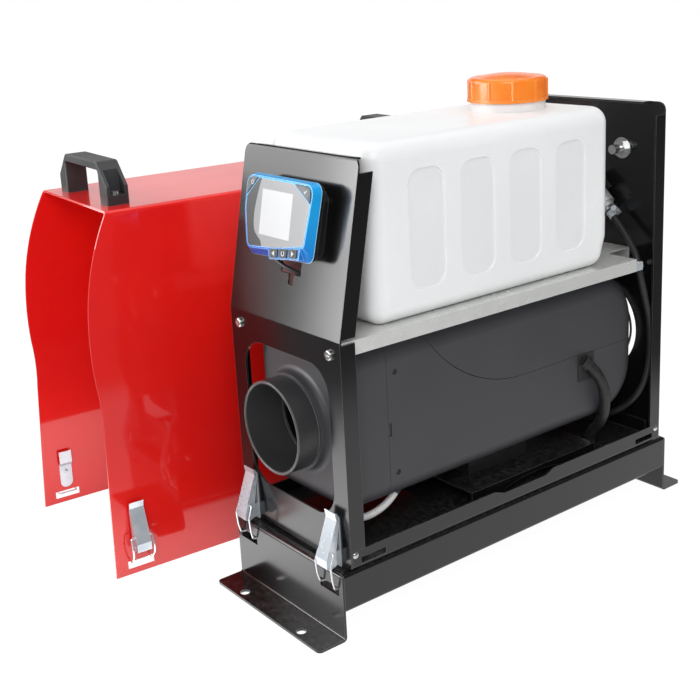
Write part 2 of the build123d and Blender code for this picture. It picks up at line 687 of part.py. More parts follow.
def heater_front_cap():
    """Rounded front cap with the nose that carries the outlet duct."""
    end = CASING_Y - SEAM
    body = along(casing_section(0), CAP_FACE, end)
    body = fillet(body.faces().sort_by(Axis.Y)[0].edges(), CASING_RADIUS - 1)
    body += rod(0, AXIS, NOSE_RADIUS, NOSE_END, CAP_FACE + 1)
    root = body.edges().filter_by(GeomType.CIRCLE).filter_by_position(Axis.Y, CAP_FACE, CAP_FACE)
    body = fillet(root, NOSE_ROOT)
    hollow = along(casing_section(CASING_WALL), CAP_FACE + CASING_WALL, end + 1)
    front = hollow.faces().sort_by(Axis.Y)[0].edges()
    hollow = fillet(front, CASING_RADIUS - CASING_WALL - 1)
    body -= hollow
    sleeve_end = NOSE_END + DUCT_GRIP + SLEEVE
    body += rod(0, AXIS, NOSE_RADIUS, CAP_FACE + 1, sleeve_end)
    body -= rod(0, AXIS, DUCT_RADIUS - DUCT_STEP + FIT, NOSE_END - 1, NOSE_END + DUCT_GRIP)
    return body - rod(0, AXIS, DUCT_RADIUS - DUCT_WALL, NOSE_END, sleeve_end + 1)


def outlet_duct():
    start = NOSE_END - DUCT_REACH
    end = NOSE_END + DUCT_GRIP
    duct = rod(0, AXIS, DUCT_RADIUS, start, NOSE_END - DUCT_SHOULDER)
    duct += rod(0, AXIS, DUCT_RADIUS - DUCT_STEP, start + 1, end)
    duct -= rod(0, AXIS, DUCT_RADIUS - DUCT_WALL, start - 1, end + 1)
    rim = duct.edges().group_by(Axis.Y)[0]
    return chamfer(rim, 0.7)


def intake_guard():
    """Ring guard on the casing's rear mouth."""
    start = CASING_END + 1
    end = CASING_END + 3.5
    guard = rod(0, AXIS, INTAKE_RADIUS + 1.5, start, end)
    guard -= rod(0, AXIS, INTAKE_RADIUS - 2.5, start - 1, end + 1)
    for radius in (30.0, 20.0):
        guard += rod(0, AXIS, radius, start, end) - rod(0, AXIS, radius - 2, start - 1, end + 1)
    guard += rod(0, AXIS, 10, start, end)
    spoke = block(-1.2, 1.2, start, end, 9, INTAKE_RADIUS - 1)
    for turn in range(4):
        guard += Pos(0, 0, AXIS) * Rot(0, 90 * turn + 45, 0) * spoke
    return guard


# Inside the heater

def heat_exchanger():
    """Finned aluminium casting with the fan cup behind it and the foot below it."""
    start = CASING_Y - EXCHANGER_LEAD
    core = rod(0, AXIS, EXCHANGER_RADIUS, start, CUP_START)
    core = fillet(core.edges().group_by(Axis.Y)[0], 10)
    fin_end = CUP_START - 4
    fin = block(EXCHANGER_RADIUS - 2, FIN_RADIUS, start + 6, fin_end,
                -FIN_THICKNESS / 2, FIN_THICKNESS / 2)
    for index in range(FINS):
        turn = Rot(0, 360 / FINS * (index + 0.5), 0)
        core += Pos(0, 0, AXIS) * turn * fin
    core += rod(0, AXIS, CUP_RADIUS, CUP_START, MOTOR_START)
    core += block(-FOOT_HALF, FOOT_HALF, FOOT_Y, MOTOR_START, PLATE_TOP, AXIS - 26)
    core += block(-FOOT_HALF, FOOT_HALF, FOOT_Y, FOOT_Y + FOOT_LENGTH, PLATE_TOP,
                  AXIS - CUP_RADIUS - 1)
    bore = EXCHANGER_RADIUS - EXCHANGER_WALL
    core -= rod(0, AXIS, bore, start + EXCHANGER_WALL, CUP_START)
    core -= rod(0, AXIS, 18, CUP_START - 1, CUP_START + 3)
    core -= rod(0, AXIS, CUP_RADIUS - 3, CUP_START + 2, MOTOR_START + 1)
    for x in (EXHAUST_X, INTAKE_X):
        core -= post(x, STUB_Y, STUB_RADIUS - STUB_WALL, PLATE_TOP - 1, AXIS - CUP_RADIUS + 1)
    return core - post(0, PLUG_Y, PLUG_RADIUS + FIT, AXIS, AXIS + EXCHANGER_RADIUS + 5)


def burner():
    """Combustion tube on a flange that sits against the fan cup."""
    start = CUP_START - 82
    tube = rod(0, AXIS, BURNER_RADIUS, start, CUP_START)
    tube += rod(0, AXIS, EXCHANGER_RADIUS - EXCHANGER_WALL - 0.1, CUP_START - 2, CUP_START)
    tube -= rod(0, AXIS, BURNER_RADIUS - 1.5, start - 1, CUP_START + 1)
    return tube - post(0, PLUG_Y, PLUG_RADIUS + FIT, AXIS, AXIS + BURNER_RADIUS + 5)


def glow_plug():
    plug = post(0, PLUG_Y, PLUG_RADIUS, AXIS + BURNER_RADIUS - 8, AXIS + EXCHANGER_RADIUS + 6)
    head = upward(RegularPolygon(4.8, 6), 0, 6)
    return plug + Pos(0, PLUG_Y, AXIS + EXCHANGER_RADIUS + 6) * head


def motor():
    body = rod(0, AXIS, CUP_RADIUS, MOTOR_START, MOTOR_START + 3)
    body += rod(0, AXIS, 28, MOTOR_START, MOTOR_START + 52)
    body += rod(0, AXIS, 9, MOTOR_START + 52, MOTOR_START + 56)
    hole = SHAFT_RADIUS + SHAFT_CLEARANCE
    return body - rod(0, AXIS, hole, MOTOR_START - 1, MOTOR_START + 60)


def fan_rotor():
    """Shaft with the seven-bladed air fan at its rear end."""
    rotor = rod(0, AXIS, SHAFT_RADIUS, MOTOR_START - 20, FAN_START + 20)
    rotor += rod(0, AXIS, 16, FAN_START, FAN_START + 18)
    blade = Pos(27, 0, 0) * Rot(38, 0, 0) * Box(2 * (FAN_RADIUS - 27), 17, 1.6)
    for index in range(FAN_BLADES):
        turn = Pos(0, FAN_START + 9, AXIS) * Rot(0, 360 / FAN_BLADES * index, 0)
        rotor += turn * blade
    return rotor


def combustion_fan():
    """Small blower wheel on the same shaft, inside the exchanger's cup."""
    start = MOTOR_START - 18
    end = MOTOR_START - 4
    wheel = rod(0, AXIS, 40, end - 2, end) + rod(0, AXIS, 7, start, end)
    vane = block(12, 39, start + 2, end - 1, -0.8, 0.8)
    for index in range(VANES):
        wheel += Pos(0, 0, AXIS) * Rot(0, 360 / VANES * index, 0) * vane
    return wheel - rod(0, AXIS, SHAFT_RADIUS, start - 1, end + 1)


def control_board():
    top = BOARD_Z
    board = block(-BOARD_HALF, BOARD_HALF, BOARD_Y, BOARD_Y + BOARD_LENGTH,
                  BOARD_Z, BOARD_Z + BOARD_THICKNESS)
    board += block(-24, -8, BOARD_Y + 12, BOARD_Y + 30, top - 10, top)
    board += block(6, 26, BOARD_Y + 40, BOARD_Y + 60, top - 8, top)
    for offset in (18, 30):
        board += post(offset, BOARD_Y + 20, 4.5, top - 11, top)
    return board


def mount_plate():
    """Raised plate on the tray that carries the heater's foot, with arched side lips."""
    y0 = CUP_START - 55
    y1 = CUP_START + 97
    plate = block(-PLATE_HALF, PLATE_HALF, y0, y1, PLATE_TOP - SHEET, PLATE_TOP)
    for inner in (-PLATE_HALF, PLATE_HALF - SHEET):
        plate += block(inner, inner + SHEET, y0, y1, FLOOR, PLATE_TOP)
    arch = Pos((y0 + y1) / 2, FLOOR - 2) * Ellipse(46, 12)
    plate -= across(arch, -PLATE_HALF - 1, PLATE_HALF + 1)
    for x in (EXHAUST_X, INTAKE_X):
        plate -= post(x, STUB_Y, STUB_RADIUS - STUB_STEP + FIT, PLATE_TOP - 5, PLATE_TOP + 1)
    return plate


def air_stub(x):
    """Pipe that goes down through the tray, with a smaller neck in the mounting plate."""
    bore = STUB_RADIUS - STUB_WALL
    pipe = ring_post(x, STUB_Y, STUB_RADIUS, bore, STUB_LOW, STAND_HEIGHT)
    return pipe + ring_post(x, STUB_Y, STUB_RADIUS - STUB_STEP, bore, STUB_LOW + 1, PLATE_TOP)


# Fuel line and wiring


def pump_place():
    return Pos(*PUMP_LOW) * Rot(0, -PUMP_TILT, 0)


def pump_axis_point(distance):
    """A point on the pump's axis, measured up from its lower end."""
    x, y, z = PUMP_LOW
    tilt = radians(PUMP_TILT)
    return (x - sin(tilt) * distance, y, z + cos(tilt) * distance)


def fuel_pump():
    body = post(0, 0, PUMP_RADIUS, 4, PUMP_BODY - 4)
    body += post(0, 0, PUMP_RADIUS - 2.5, 0, PUMP_BODY)
    body = fillet(body.edges().group_by(Axis.Z)[-1], 2)
    body += post(0, 0, 2.4, -PUMP_NIPPLE, PUMP_BODY + PUMP_NIPPLE)
    return pump_place() * body


def pump_holder():
    """Rubber sleeve with a pad against the back panel."""
    middle = PUMP_BODY / 2
    depth = BACK - SHEET - PUMP_LOW[1]
    sleeve = post(0, 0, PUMP_RADIUS + 2.5, middle - 8, middle + 8)
    sleeve += block(-9, 9, 0, depth, middle - 8, middle + 8)
    sleeve -= post(0, 0, PUMP_RADIUS + FIT, middle - 9, middle + 9)
    return pump_place() * sleeve


def suction_hose():
    """From the pump's upper nipple over and down to the elbow on the tank."""
    points = [
        pump_axis_point(PUMP_BODY + 2),
        pump_axis_point(PUMP_BODY + 20),
        (-47.0, BACK - 18.5, CREASE + 85.5),
        (-56.0, BACK - 32.5, CREASE + 75.5),
        (-52.0, BACK - 45.5, CREASE + 60.5),
        (OUTLET_X, OUTLET_Y, CREASE + 46.0),
        (OUTLET_X, OUTLET_Y, CREASE + 29.0),
    ]
    return hose("suction hose", points, HOSE_RADIUS) - tank_outlet() - fuel_pump()


FUEL_ROUTE = [
    pump_axis_point(-2),
    pump_axis_point(-20),
    (50.3, BACK - 17.5, CREASE + 7.5),
    (62.0, BACK - 23.5, CREASE - 1.0),
    (67.2, BACK - 25.0, CREASE - 16.5),
    (67.0, BACK - 17.0, CREASE - 39.5),
    (66.8, BACK - 8.5, CREASE - 64.5),
    (66.4, BACK - 7.0, CREASE - 92.5),
    (64.5, BACK - 9.0, CREASE - 119.5),
    (55.5, BACK - 15.5, 94.0),
    (36.0, BACK - 26.5, 77.0),
    (12.0, BACK - 33.0, 68.5),
    (-14.0, BACK - 40.0, 64.5),
    (-38.0, BACK - 47.5, 63.0),
]

LINE_ROUTE = [
    (-38.0, BACK - 47.5, 63.0),
    (-52.4, BACK - 52.0, 62.1),
    (-64.8, BACK - 63.5, 61.8),
    (-65.8, BACK - 95.0, 61.6),
    (-66.4, BACK - 140.0, 61.8),
    (-66.0, BACK - 190.0, 61.7),
    (-64.8, BACK - 234.0, 61.8),
    (-55.0, BACK - 270.0, 62.6),
    (-34.0, BACK - 298.0, 64.0),
    (-10.0, BACK - 317.0, 66.0),
    (6.7, BACK - 331.1, 68.0),
    (19.0, BACK - 335.0, 70.0),
    (31.3, BACK - 331.1, 72.0),
    (39.2, BACK - 320.9, 74.5),
    nipple_point(NIPPLE_REACH + 9.8),
    nipple_point(NIPPLE_REACH),
]


def fuel_hose():
    """Black hose from the pump, through the shelf's notch and down to the floor."""
    return hose("fuel hose", FUEL_ROUTE, HOSE_RADIUS) - fuel_pump()


def fuel_line():
    """White line along the tray and round the front to the nipple under the heater."""
    return hose("fuel line", LINE_ROUTE, LINE_RADIUS)


def clamp_ring(place, bore):
    """Band clamp with its screw housing and screw head."""
    band = ring_post(0, 0, bore + 1.1, bore, -3, 3)
    band += block(-4.5, 4.5, bore + 0.6, bore + 4.6, -2.6, 2.6)
    band += Pos(7.5, bore + 2.8, 0) * Rot(0, 90, 0) * Cylinder(2.6, 6.5)
    return place * band


def frame_on(point, direction):
    return Location(Plane(origin=point, z_dir=direction))


def hose_clamps():
    """Clamps on the pump, on the tank outlet and where hose and line meet, and one panel clip."""
    bore = HOSE_RADIUS + FIT
    meet = Vector(*LINE_ROUTE[0])
    before = Vector(*FUEL_ROUTE[-2])
    along_meet = (meet - before).normalized()
    lower = pump_place() * Pos(0, 0, -7) * Rot(0, 0, -60)
    upper = pump_place() * Pos(0, 0, PUMP_BODY + 7) * Rot(0, 0, 150)
    outlet = Pos(OUTLET_X, OUTLET_Y, OUTLET_Z + OUTLET_BARB - 6)
    joint = frame_on(meet - along_meet * 5, along_meet)
    clamps = [clamp_ring(place, bore) for place in (lower, upper, outlet, joint)]
    return clamps + [hose_clip()]


def hose_clip():
    """Clip on the end of the shelf's side lip that holds the hose."""
    high = Vector(*FUEL_ROUTE[3])
    low = Vector(*FUEL_ROUTE[4])
    middle = (high + low) * 0.5
    place = frame_on(middle, (high - low).normalized())
    lip_end = BACK - SHEET - NOTCH_LENGTH
    lip_inner = HALF - SHEET - SEAT_GAP - SHELF_SHEET
    clip = place * post(0, 0, HOSE_RADIUS + 1.2, -2.5, 2.5)
    clip += block(lip_inner - 1.2, lip_inner, lip_end - 6, middle.Y, middle.Z - 3.5, middle.Z + 3.5)
    clip += block(middle.X, lip_inner, middle.Y - 1.2, middle.Y, middle.Z - 3.5, middle.Z + 3.5)
    return clip - hose("hose in its clip", FUEL_ROUTE, HOSE_RADIUS + FIT)


CABLE_ROUTE = [
    (60.0, GROMMET_Y + 9.5, 148.0),
    (64.0, GROMMET_Y + 16.5, 141.0),
    (66.0, GROMMET_Y + 26.0, 121.0),
    (62.5, GROMMET_Y + 30.0, 99.0),
    (54.0, GROMMET_Y + 32.0, 83.0),
    (45.0, GROMMET_Y + 33.0, 74.0),
    (42.0, GROMMET_Y + 33.0, 65.0),
    (42.0, GROMMET_Y + 33.0, FLOOR),
]


def cable_grommet():
    half = CASING_WIDTH / 2
    body = block(half - 4, half + 1.2, GROMMET_Y, GROMMET_Y + GROMMET_WIDTH,
                 GROMMET_Z, GROMMET_Z + GROMMET_HEIGHT)
    start = Vector(*CABLE_ROUTE[0])
    way = (Vector(*CABLE_ROUTE[1]) - start).normalized()
    body += frame_on(start - way * 6, way) * post(0, 0, CABLE_RADIUS + 1.5, 0, 6)
    return body & block(half - 4, HALF - 2, GROMMET_Y - 5, GROMMET_Y + 40, GROMMET_Z - 5, AXIS + 20)


def heater_cable():
    """Sheathed loom from the grommet down to the tray."""
    return hose("heater cable", CABLE_ROUTE, CABLE_RADIUS) - cable_grommet()


def power_terminal():
    """Bulkhead stud with its hexagon nut and washer, for the supply cable."""
    inside = BACK - SHEET
    stud = rod(TERMINAL_X, TERMINAL_Z, 4.2, inside - 15, BACK)
    stud += rod(TERMINAL_X, TERMINAL_Z, 9.5, inside - 1.5, inside)
    nut = upward(RegularPolygon(7, 6), 0, 5)
    stud += Pos(TERMINAL_X, inside - 1.5, TERMINAL_Z) * Rot(90, 0, 0) * nut
    stud += rod(TERMINAL_X, TERMINAL_Z, 9, BACK, BACK + 4)
    return stud


def panel_screws():
    """Pan-head screws of the shelf, and the rivets at the tray's corners."""
    screws = []
    z = CREASE - SCREW_DROP
    for side in (-1, 1):
        x = side * SCREW_SPACING / 2
        screws.append(pan_head(FRONT, -1, x, z))
        for end in (-1, 1):
            screws.append(rivet(side, end))
    for x in REAR_SCREWS:
        screws.append(pan_head(BACK, 1, x, z))
    return screws


def pan_head(face, out, x, z):
    top = SCREW_HEAD_HEIGHT
    head = post(0, 0, SCREW_HEAD, 0, top)
    head = fillet(head.edges().group_by(Axis.Z)[-1], 1.2)
    head -= Pos(0, 0, top) * Box(4.4, 0.9, 1.4) + Pos(0, 0, top) * Box(0.9, 4.4, 1.4)
    head += post(0, 0, SCREW_SHANK, -4.5, 0)
    return Pos(x, face, z) * Rot(-90 * out, 0, 0) * head


def rivet(side, end):
    place = Pos(side * HALF, end * (BACK - 5.0), RAIL_TOP - 3.4)
    return place * Rot(0, 90 * side, 0) * dome(2.6, 1.2)


# Controller

def slope_frame():
    """Frame on the sloped front: X right, Y up the slope, Z out of the panel."""
    y = FRONT + sin(LEAN_ANGLE) * CONTROL_RISE
    z = CREASE + cos(LEAN_ANGLE) * CONTROL_RISE
    out = (0, -cos(LEAN_ANGLE), sin(LEAN_ANGLE))
    return Location(Plane(origin=(CONTROL_X, y, z), x_dir=(1, 0, 0), z_dir=out))


def base_outline(inset):
    """Front view of the case and of the bezel's rear edge."""
    half = CONTROL_WIDTH / 2
    high = CONTROL_HEIGHT / 2
    outline = Polygon((-half, high), (-half, 4), (5 - half, -high), (half - 3, 4 - high),
                      (half, high), align=None)
    upper = outline.vertices().filter_by_position(Axis.Y, high - 1, high + 1)
    outline = fillet(upper, 8)
    lower = outline.vertices().filter_by_position(Axis.Y, -high - 1, 5 - high)
    outline = fillet(lower, 7)
    waist = outline.vertices().filter_by_position(Axis.Y, 3, 5)
    outline = fillet(waist, 25)
    return offset(outline, -inset) if inset else outline


def face_outline(inset):
    """Front view of the bezel's face without the tab: its lower edge climbs to the right."""
    left = BEZEL_SLOPE - CONTROL_WIDTH / 2
    right = CONTROL_WIDTH / 2 - BEZEL_SLOPE + 0.8
    top = CONTROL_HEIGHT / 2 - 1.6
    outline = Polygon((left, top), (left, 3), (left + 7.4, -26), (5, -22.6), (right - 5.2, -16.4),
                      (right, top), align=None)
    corners = outline.vertices()
    outline = fillet(corners.filter_by_position(Axis.Y, top - 1, top + 1), 8)
    outline = fillet(outline.vertices().filter_by_position(Axis.Y, -16.5, -16.3), 3)
    outline = fillet(outline.vertices().filter_by_position(Axis.Y, -26.1, -25.9), 6)
    outline = fillet(outline.vertices().filter_by_position(Axis.Y, 2.9, 3.1), 25)
    outline = fillet(outline.vertices().filter_by_position(Axis.Y, -22.7, -22.5), 100)
    return offset(outline, -inset) if inset else outline


def key_tab(inset):
    """Front view of the tab that holds the three lower keys."""
    low = inset - KEY_HIGH - KEY_FRAME
    end = TAB_HALF - inset
    tab = Polygon((-end - 2, 8), (1.2 - end, low), (end - 0.8, low), (end + 1, 8), align=None)
    return Pos(*KEY_ROW) * Rot(0, 0, KEY_TILT) * tab


def beyond(line, distance):
    """The upper corner of the face that lies past a slanted line."""
    u, v, angle = line
    return Pos(u, v) * Rot(0, 0, angle) * Pos(0, 15 + distance) * Rectangle(60, 30)


def lens_outline(inset):
    """Front view of the lens: the face less its two upper corners and the keys' tab."""
    lens = face_outline(LENS_FRAME + inset)
    lens -= beyond(LEFT_CUT, -inset)
    lens -= beyond(RIGHT_CUT, -inset)
    strip_top = KEY_HIGH + KEY_FRAME + inset
    keys = Pos(0, strip_top - 10) * Rectangle(2 * TAB_HALF + 1, 20)
    return lens - Pos(*KEY_ROW) * Rot(0, 0, KEY_TILT) * keys


def controller_case():
    """Black rear half with its foot on the panel."""
    rim = CASE_DEPTH - RIM_DEPTH
    foot = upward(rounded(CONTROL_WIDTH - 14, CONTROL_HEIGHT - 12, 8), 0, rim)
    case = foot + upward(base_outline(1.2), rim, CASE_DEPTH)
    case -= upward(base_outline(7), CASE_DEPTH - 2.4, CASE_DEPTH + 1)
    return slope_frame() * case


def controller_bezel():
    """Blue bezel: sides slope in to the face, which holds the lens and the buttons."""
    bezel = loft([base_outline(0), Pos(0, 0, BEZEL_DEPTH) * face_outline(0)])
    bezel += upward(key_tab(0), 1, BEZEL_DEPTH)
    ceiling = BEZEL_DEPTH - BEZEL_FRONT
    bezel -= upward(face_outline(0.6), -1, ceiling)
    bezel -= upward(key_tab(0.7), -1, ceiling)
    bezel -= upward(lens_outline(0), ceiling - 1, BEZEL_DEPTH + 1)
    for name, shape in BUTTONS:
        bezel -= upward(shape(BUTTON_GAP), ceiling - 1, BEZEL_DEPTH + 1)
    return slope_frame() * Pos(0, 0, CASE_DEPTH) * bezel


def controller_lens():
    top = CASE_DEPTH + BEZEL_DEPTH
    return slope_frame() * upward(lens_outline(FIT), top - LENS_THICKNESS, top)


def controller_display():
    """The display module, carried by the case and touching the lens from behind."""
    top = CASE_DEPTH + BEZEL_DEPTH - LENS_THICKNESS
    glass = upward(rounded(LCD_WIDTH, LCD_HEIGHT, 1), top - 2, top)
    board = upward(Rectangle(LCD_WIDTH - 8, LCD_HEIGHT - 8), CASE_DEPTH - 2.4, top - 2)
    return slope_frame() * Pos(LCD_U, LCD_V, 0) * (glass + board)


def corner_key(line):
    """Front view of the key in an upper corner: it follows the face's edge and the line."""
    def shape(grow):
        return face_outline(LENS_FRAME - grow) & beyond(line, KEY_FRAME - grow)
    return shape


def lower_key(column):
    """Front view of one key of the lower row, narrower at its lower edge."""
    def shape(grow):
        key = Polygon((-KEY_HALF, KEY_HIGH), (0.9 - KEY_HALF, -KEY_HIGH), (KEY_HALF - 0.9, -KEY_HIGH),
                      (KEY_HALF, KEY_HIGH), align=None)
        key = fillet(key.vertices(), 0.8)
        key = offset(key, grow) if grow else key
        return Pos(*KEY_ROW) * Rot(0, 0, KEY_TILT) * Pos(column * KEY_PITCH, 0) * key
    return shape


BUTTONS = [
    ("button_power", corner_key(LEFT_CUT)),
    ("button_ok", corner_key(RIGHT_CUT)),
    ("button_left", lower_key(-1)),
    ("button_set", lower_key(0)),
    ("button_right", lower_key(1)),
]


def button(shape):
    """Key with a wider foot that stays behind the bezel."""
    top = CASE_DEPTH + BEZEL_DEPTH + BUTTON_PROUD
    seat = CASE_DEPTH + BEZEL_DEPTH - BEZEL_FRONT - 0.2
    key = upward(shape(0), seat, top)
    foot = upward(shape(0.6), seat - 1.2, seat)
    return slope_frame() * (key + foot)


def controller_cable():
    """Thin cable from the controller's lower edge through the cut-out and down to the heater."""
    frame = slope_frame()
    local = [(-24.5, -21.0, 4.6), (-18.5, -30.0, 5.0), (-4.5, -35.5, 4.6), (5.5, -38.0, 0.5)]
    points = [tuple((frame * Pos(*p)).position) for p in local]
    points += [
        (LEAD_X - 1.5, FRONT + 17.0, CREASE + 36.0),
        (LEAD_X, LEAD_Y, CREASE + 18.0),
        (LEAD_X, LEAD_Y, CREASE - 7.5),
        (LEAD_X + 1, LEAD_Y + 12.0, CREASE - 9.5),
        (LEAD_X + 3, LEAD_Y + 34.0, CREASE - 7.0),
        (LEAD_X + 1, LEAD_Y + 62.0, CREASE - 6.5),
        (LEAD_X - 2, LEAD_Y + 76.0, CREASE - 7.5),
        (LEAD_X - 2, LEAD_Y + 80.0, CASING_TOP + 3.5),
        (LEAD_X - 2, LEAD_Y + 80.0, CASING_TOP),
    ]
    return hose("controller cable", points, LEAD_RADIUS) - controller_case()


# Draw latches, drawn on a panel whose outer face is the plane y = 0 and which faces -Y.
# x is across the latch and z = 0 is the lever's pivot.

def latch_plate(out):
    """Base plate with a rounded top, two ears for the lever and two rivet heads."""
    half = LATCH_WIDTH / 2 - 1.8
    low = -6.0
    outline = Pos(0, low + LATCH_PLATE / 2) * Rectangle(2 * half, LATCH_PLATE)
    outline = fillet(outline.vertices().group_by(Axis.Y)[-1], half - 0.3)
    plate = along(outline, -LATCH_SHEET, 0)
    for inner in (-half, half - 1.0):
        ear = block(inner, inner + 1.0, -out, -0.5, -3.4, 8)
        ear += Pos(inner + 0.5, -out, 0) * Rot(0, 90, 0) * Cylinder(3.4, 1.0)
        plate += ear
    for z in (15, 29):
        plate += Pos(0, -LATCH_SHEET, z) * Rot(90, 0, 0) * dome(2.2, 1.0)
    pin = Pos(0, -out, 0) * Rot(0, 90, 0) * Cylinder(1.2, LATCH_WIDTH + 1.0)
    return plate + pin


def lever_side(out):
    """Side view of the lever: deep round the pivots, shallow at the top."""
    outline = Polygon((-out + 2.6, -2.2), (-out - 2.2, -4.2), (-out - 6.6, -3.0),
                      (-out - 6.6, 4.0), (-3.8, LEVER_LENGTH), (-2.2, LEVER_LENGTH - 6),
                      (-out + 3.2, 10), align=None)
    return fillet(outline.vertices(), 0.7)


def latch_lever(out):
    """Channel-shaped lever with a curled finger tab at its free end."""
    half = LATCH_WIDTH / 2
    lever = across(lever_side(out), -half, half)
    lever -= across(lever_pocket(out), 1.1 - half, half - 1.1)
    tab = Polygon((-4.6, LEVER_LENGTH - 1.5), (-3.4, LEVER_LENGTH - 2.5),
                  (-4.4, LEVER_LENGTH + 3.6), (-5.6, LEVER_LENGTH + 4.0), align=None)
    lever += across(tab, -half, half)
    lever -= Pos(0, -out, 0) * Rot(0, 90, 0) * Cylinder(1.26, 3 * LATCH_WIDTH)
    hole = Pos(0, -out - BAIL_OUT, BAIL_UP) * Rot(0, 90, 0) * Cylinder(WIRE / 2 + 0.06, 40)
    return lever - hole


def lever_pocket(out):
    """What the bent channel leaves open behind its front wall."""
    return Polygon((-out + 6, -8), (-out - 5.2, -8), (-out - 5.4, 4.0),
                   (-3.0, LEVER_LENGTH - 2.6), (2, LEVER_LENGTH - 2.6), align=None)


def bail(out, hook_out, hook_up):
    """Wire bail: pins in the lever, legs that bow out, and a bar that hooks behind the slot."""
    pivot_y = -out - BAIL_OUT
    pin_end = LATCH_WIDTH / 2 - 1.0
    front = hook_out - HOOK_DEPTH
    bow = min(pivot_y, front) - BAIL_BOW
    points = [
        (pin_end, pivot_y, BAIL_UP),
        (BAIL_HALF, pivot_y, BAIL_UP),
        (BAIL_HALF + 0.5, bow, BAIL_UP - 10),
        (BAIL_HALF + 0.5, bow + 1.0, hook_up + 8),
        (BAIL_HALF, front, hook_up),
        (BAIL_HALF - 0.6, hook_out, hook_up),
    ]
    points += [(-x, y, z) for x, y, z in reversed(points)]
    radii = [1.5, 6.0, 6.0, 2.0, 1.8, 1.8, 2.0, 6.0, 6.0, 1.5]
    path = FilletPolyline(points, radius=radii)
    start = Plane(origin=path @ 0, z_dir=path % 0)
    return sweep(start * Circle(WIRE / 2), path=path)


def front_latch_place(side):
    return Pos(side * LATCH_SPACING / 2, FRONT, FRONT_PIVOT_Z)


def latch_plates():
    return [front_latch_place(side) * latch_plate(FRONT_PIVOT_OUT) for side in (-1, 1)]


def front_lever(side):
    return front_latch_place(side) * latch_lever(FRONT_PIVOT_OUT)


def front_bail(side):
    """Its bar lies behind the stand plate, just under the slot's upper edge."""
    behind = STAND_SHEET - PLATE_Y - FRONT + WIRE / 2 + 0.5
    below = STAND_HEIGHT - SLOT_DROP - WIRE / 2 - 1.4 - FRONT_PIVOT_Z
    return front_latch_place(side) * bail(FRONT_PIVOT_OUT, behind, below)


# Cover, drawn square to the axes with its front lower edge at y = 0, then turned into place.

def cover_place():
    return Pos(COVER_X, COVER_Y, 0) * Rot(0, 0, COVER_TURN)


def leg_spread():
    return tan(radians(COVER_SPLAY)) * COVER_HEIGHT


def cover_side_outline():
    """Side view: the front edge bulges and sweeps back to the top, the rear edge is straight."""
    low = (0, -20)
    waist = (6.2, 125)
    hollow = (7.0, 148)
    shoulder = (5.2, 172)
    chest = (4.1, 197)
    neck = (6.5, 236)
    brow = (16.5, 279)
    crown = (COVER_TOP_SETBACK, COVER_HEIGHT)
    edge = Line(low, waist) + ThreePointArc(waist, hollow, shoulder)
    edge += ThreePointArc(shoulder, chest, neck) + ThreePointArc(neck, brow, crown)
    edge += Polyline(crown, (COVER_TOP_SETBACK, COVER_HEIGHT + 5), (COVER_LENGTH, COVER_HEIGHT + 5),
                     (COVER_LENGTH, -20), low)
    return make_face(edge)


def cover_shell():
    spread = leg_spread()
    reach = spread * 1.03
    drop = -COVER_HEIGHT * 0.03
    points = [
        (-COVER_HALF - reach, drop),
        (-COVER_HALF, COVER_HEIGHT),
        (COVER_HALF, COVER_HEIGHT),
        (COVER_HALF + reach, drop),
    ]
    shell = along(strip(points, [COVER_BEND, COVER_BEND], SHEET, Side.RIGHT), 0, COVER_LENGTH)
    shell &= across(cover_side_outline(), -200, 200)
    shell &= block(-200, 200, -10, COVER_LENGTH + 10, 0, COVER_HEIGHT + 10)
    for side in (-1, 1):
        shell -= leg_frame(side, COVER_LATCH_BACK) * cover_slot()
        shell -= leg_frame(side, COVER_LENGTH - COVER_LATCH_BACK) * cover_slot()
    return cover_place() * shell


def leg_frame(side, y):
    """Frame on a leg's outer face at the floor, -Y pointing out of the leg and Z up the leg."""
    x = side * (COVER_HALF + leg_spread())
    return Pos(x, y, 0) * Rot(0, -side * COVER_SPLAY, 0) * Rot(0, 0, 90 * side)


def cover_slot():
    return block(-SLOT_WIDTH / 2, SLOT_WIDTH / 2, -5, 5,
                 COVER_SLOT_RISE, COVER_SLOT_RISE + SLOT_HEIGHT)


def cover_latch_place(side):
    return cover_place() * leg_frame(side, COVER_LATCH_BACK) * Pos(0, 0, COVER_PIVOT_RISE)


def cover_latch_plates():
    return [cover_latch_place(side) * latch_plate(COVER_PIVOT_OUT) for side in (-1, 1)]


def cover_lever(side):
    return cover_latch_place(side) * latch_lever(COVER_PIVOT_OUT)


def cover_bail(side):
    hook_up = COVER_SLOT_RISE + SLOT_HEIGHT - WIRE / 2 - 1.0 - COVER_PIVOT_RISE
    return cover_latch_place(side) * bail(COVER_PIVOT_OUT, SHEET + WIRE / 2 + 0.6, hook_up)


def cover_clips():
    """Stepped spring hooks inside the legs, near all four lower corners."""
    plate = Pos(0, 17.5) * Rectangle(12, 35)
    plate = fillet(plate.vertices().group_by(Axis.Y)[0], 5.7)
    clip = along(plate, 0, 1.0)
    clip &= block(-10, 10, -1, 3, -1, 25)
    leaf = Polygon((0, 23), (1, 23), (4.2, 27), (3.6, 39), (2.6, 39), (3.1, 27.4), (0, 24),
                   align=None)
    clip += across(leaf, -6, 6)
    clip += Pos(0, 1.0, 17) * Rot(-90, 0, 0) * dome(2.2, 1.0)
    clips = []
    for side in (-1, 1):
        for y in (COVER_LATCH_BACK, COVER_LENGTH - COVER_LATCH_BACK):
            clips.append(cover_place() * leg_frame(side, y) * Pos(0, SHEET, 16) * clip)
    return clips


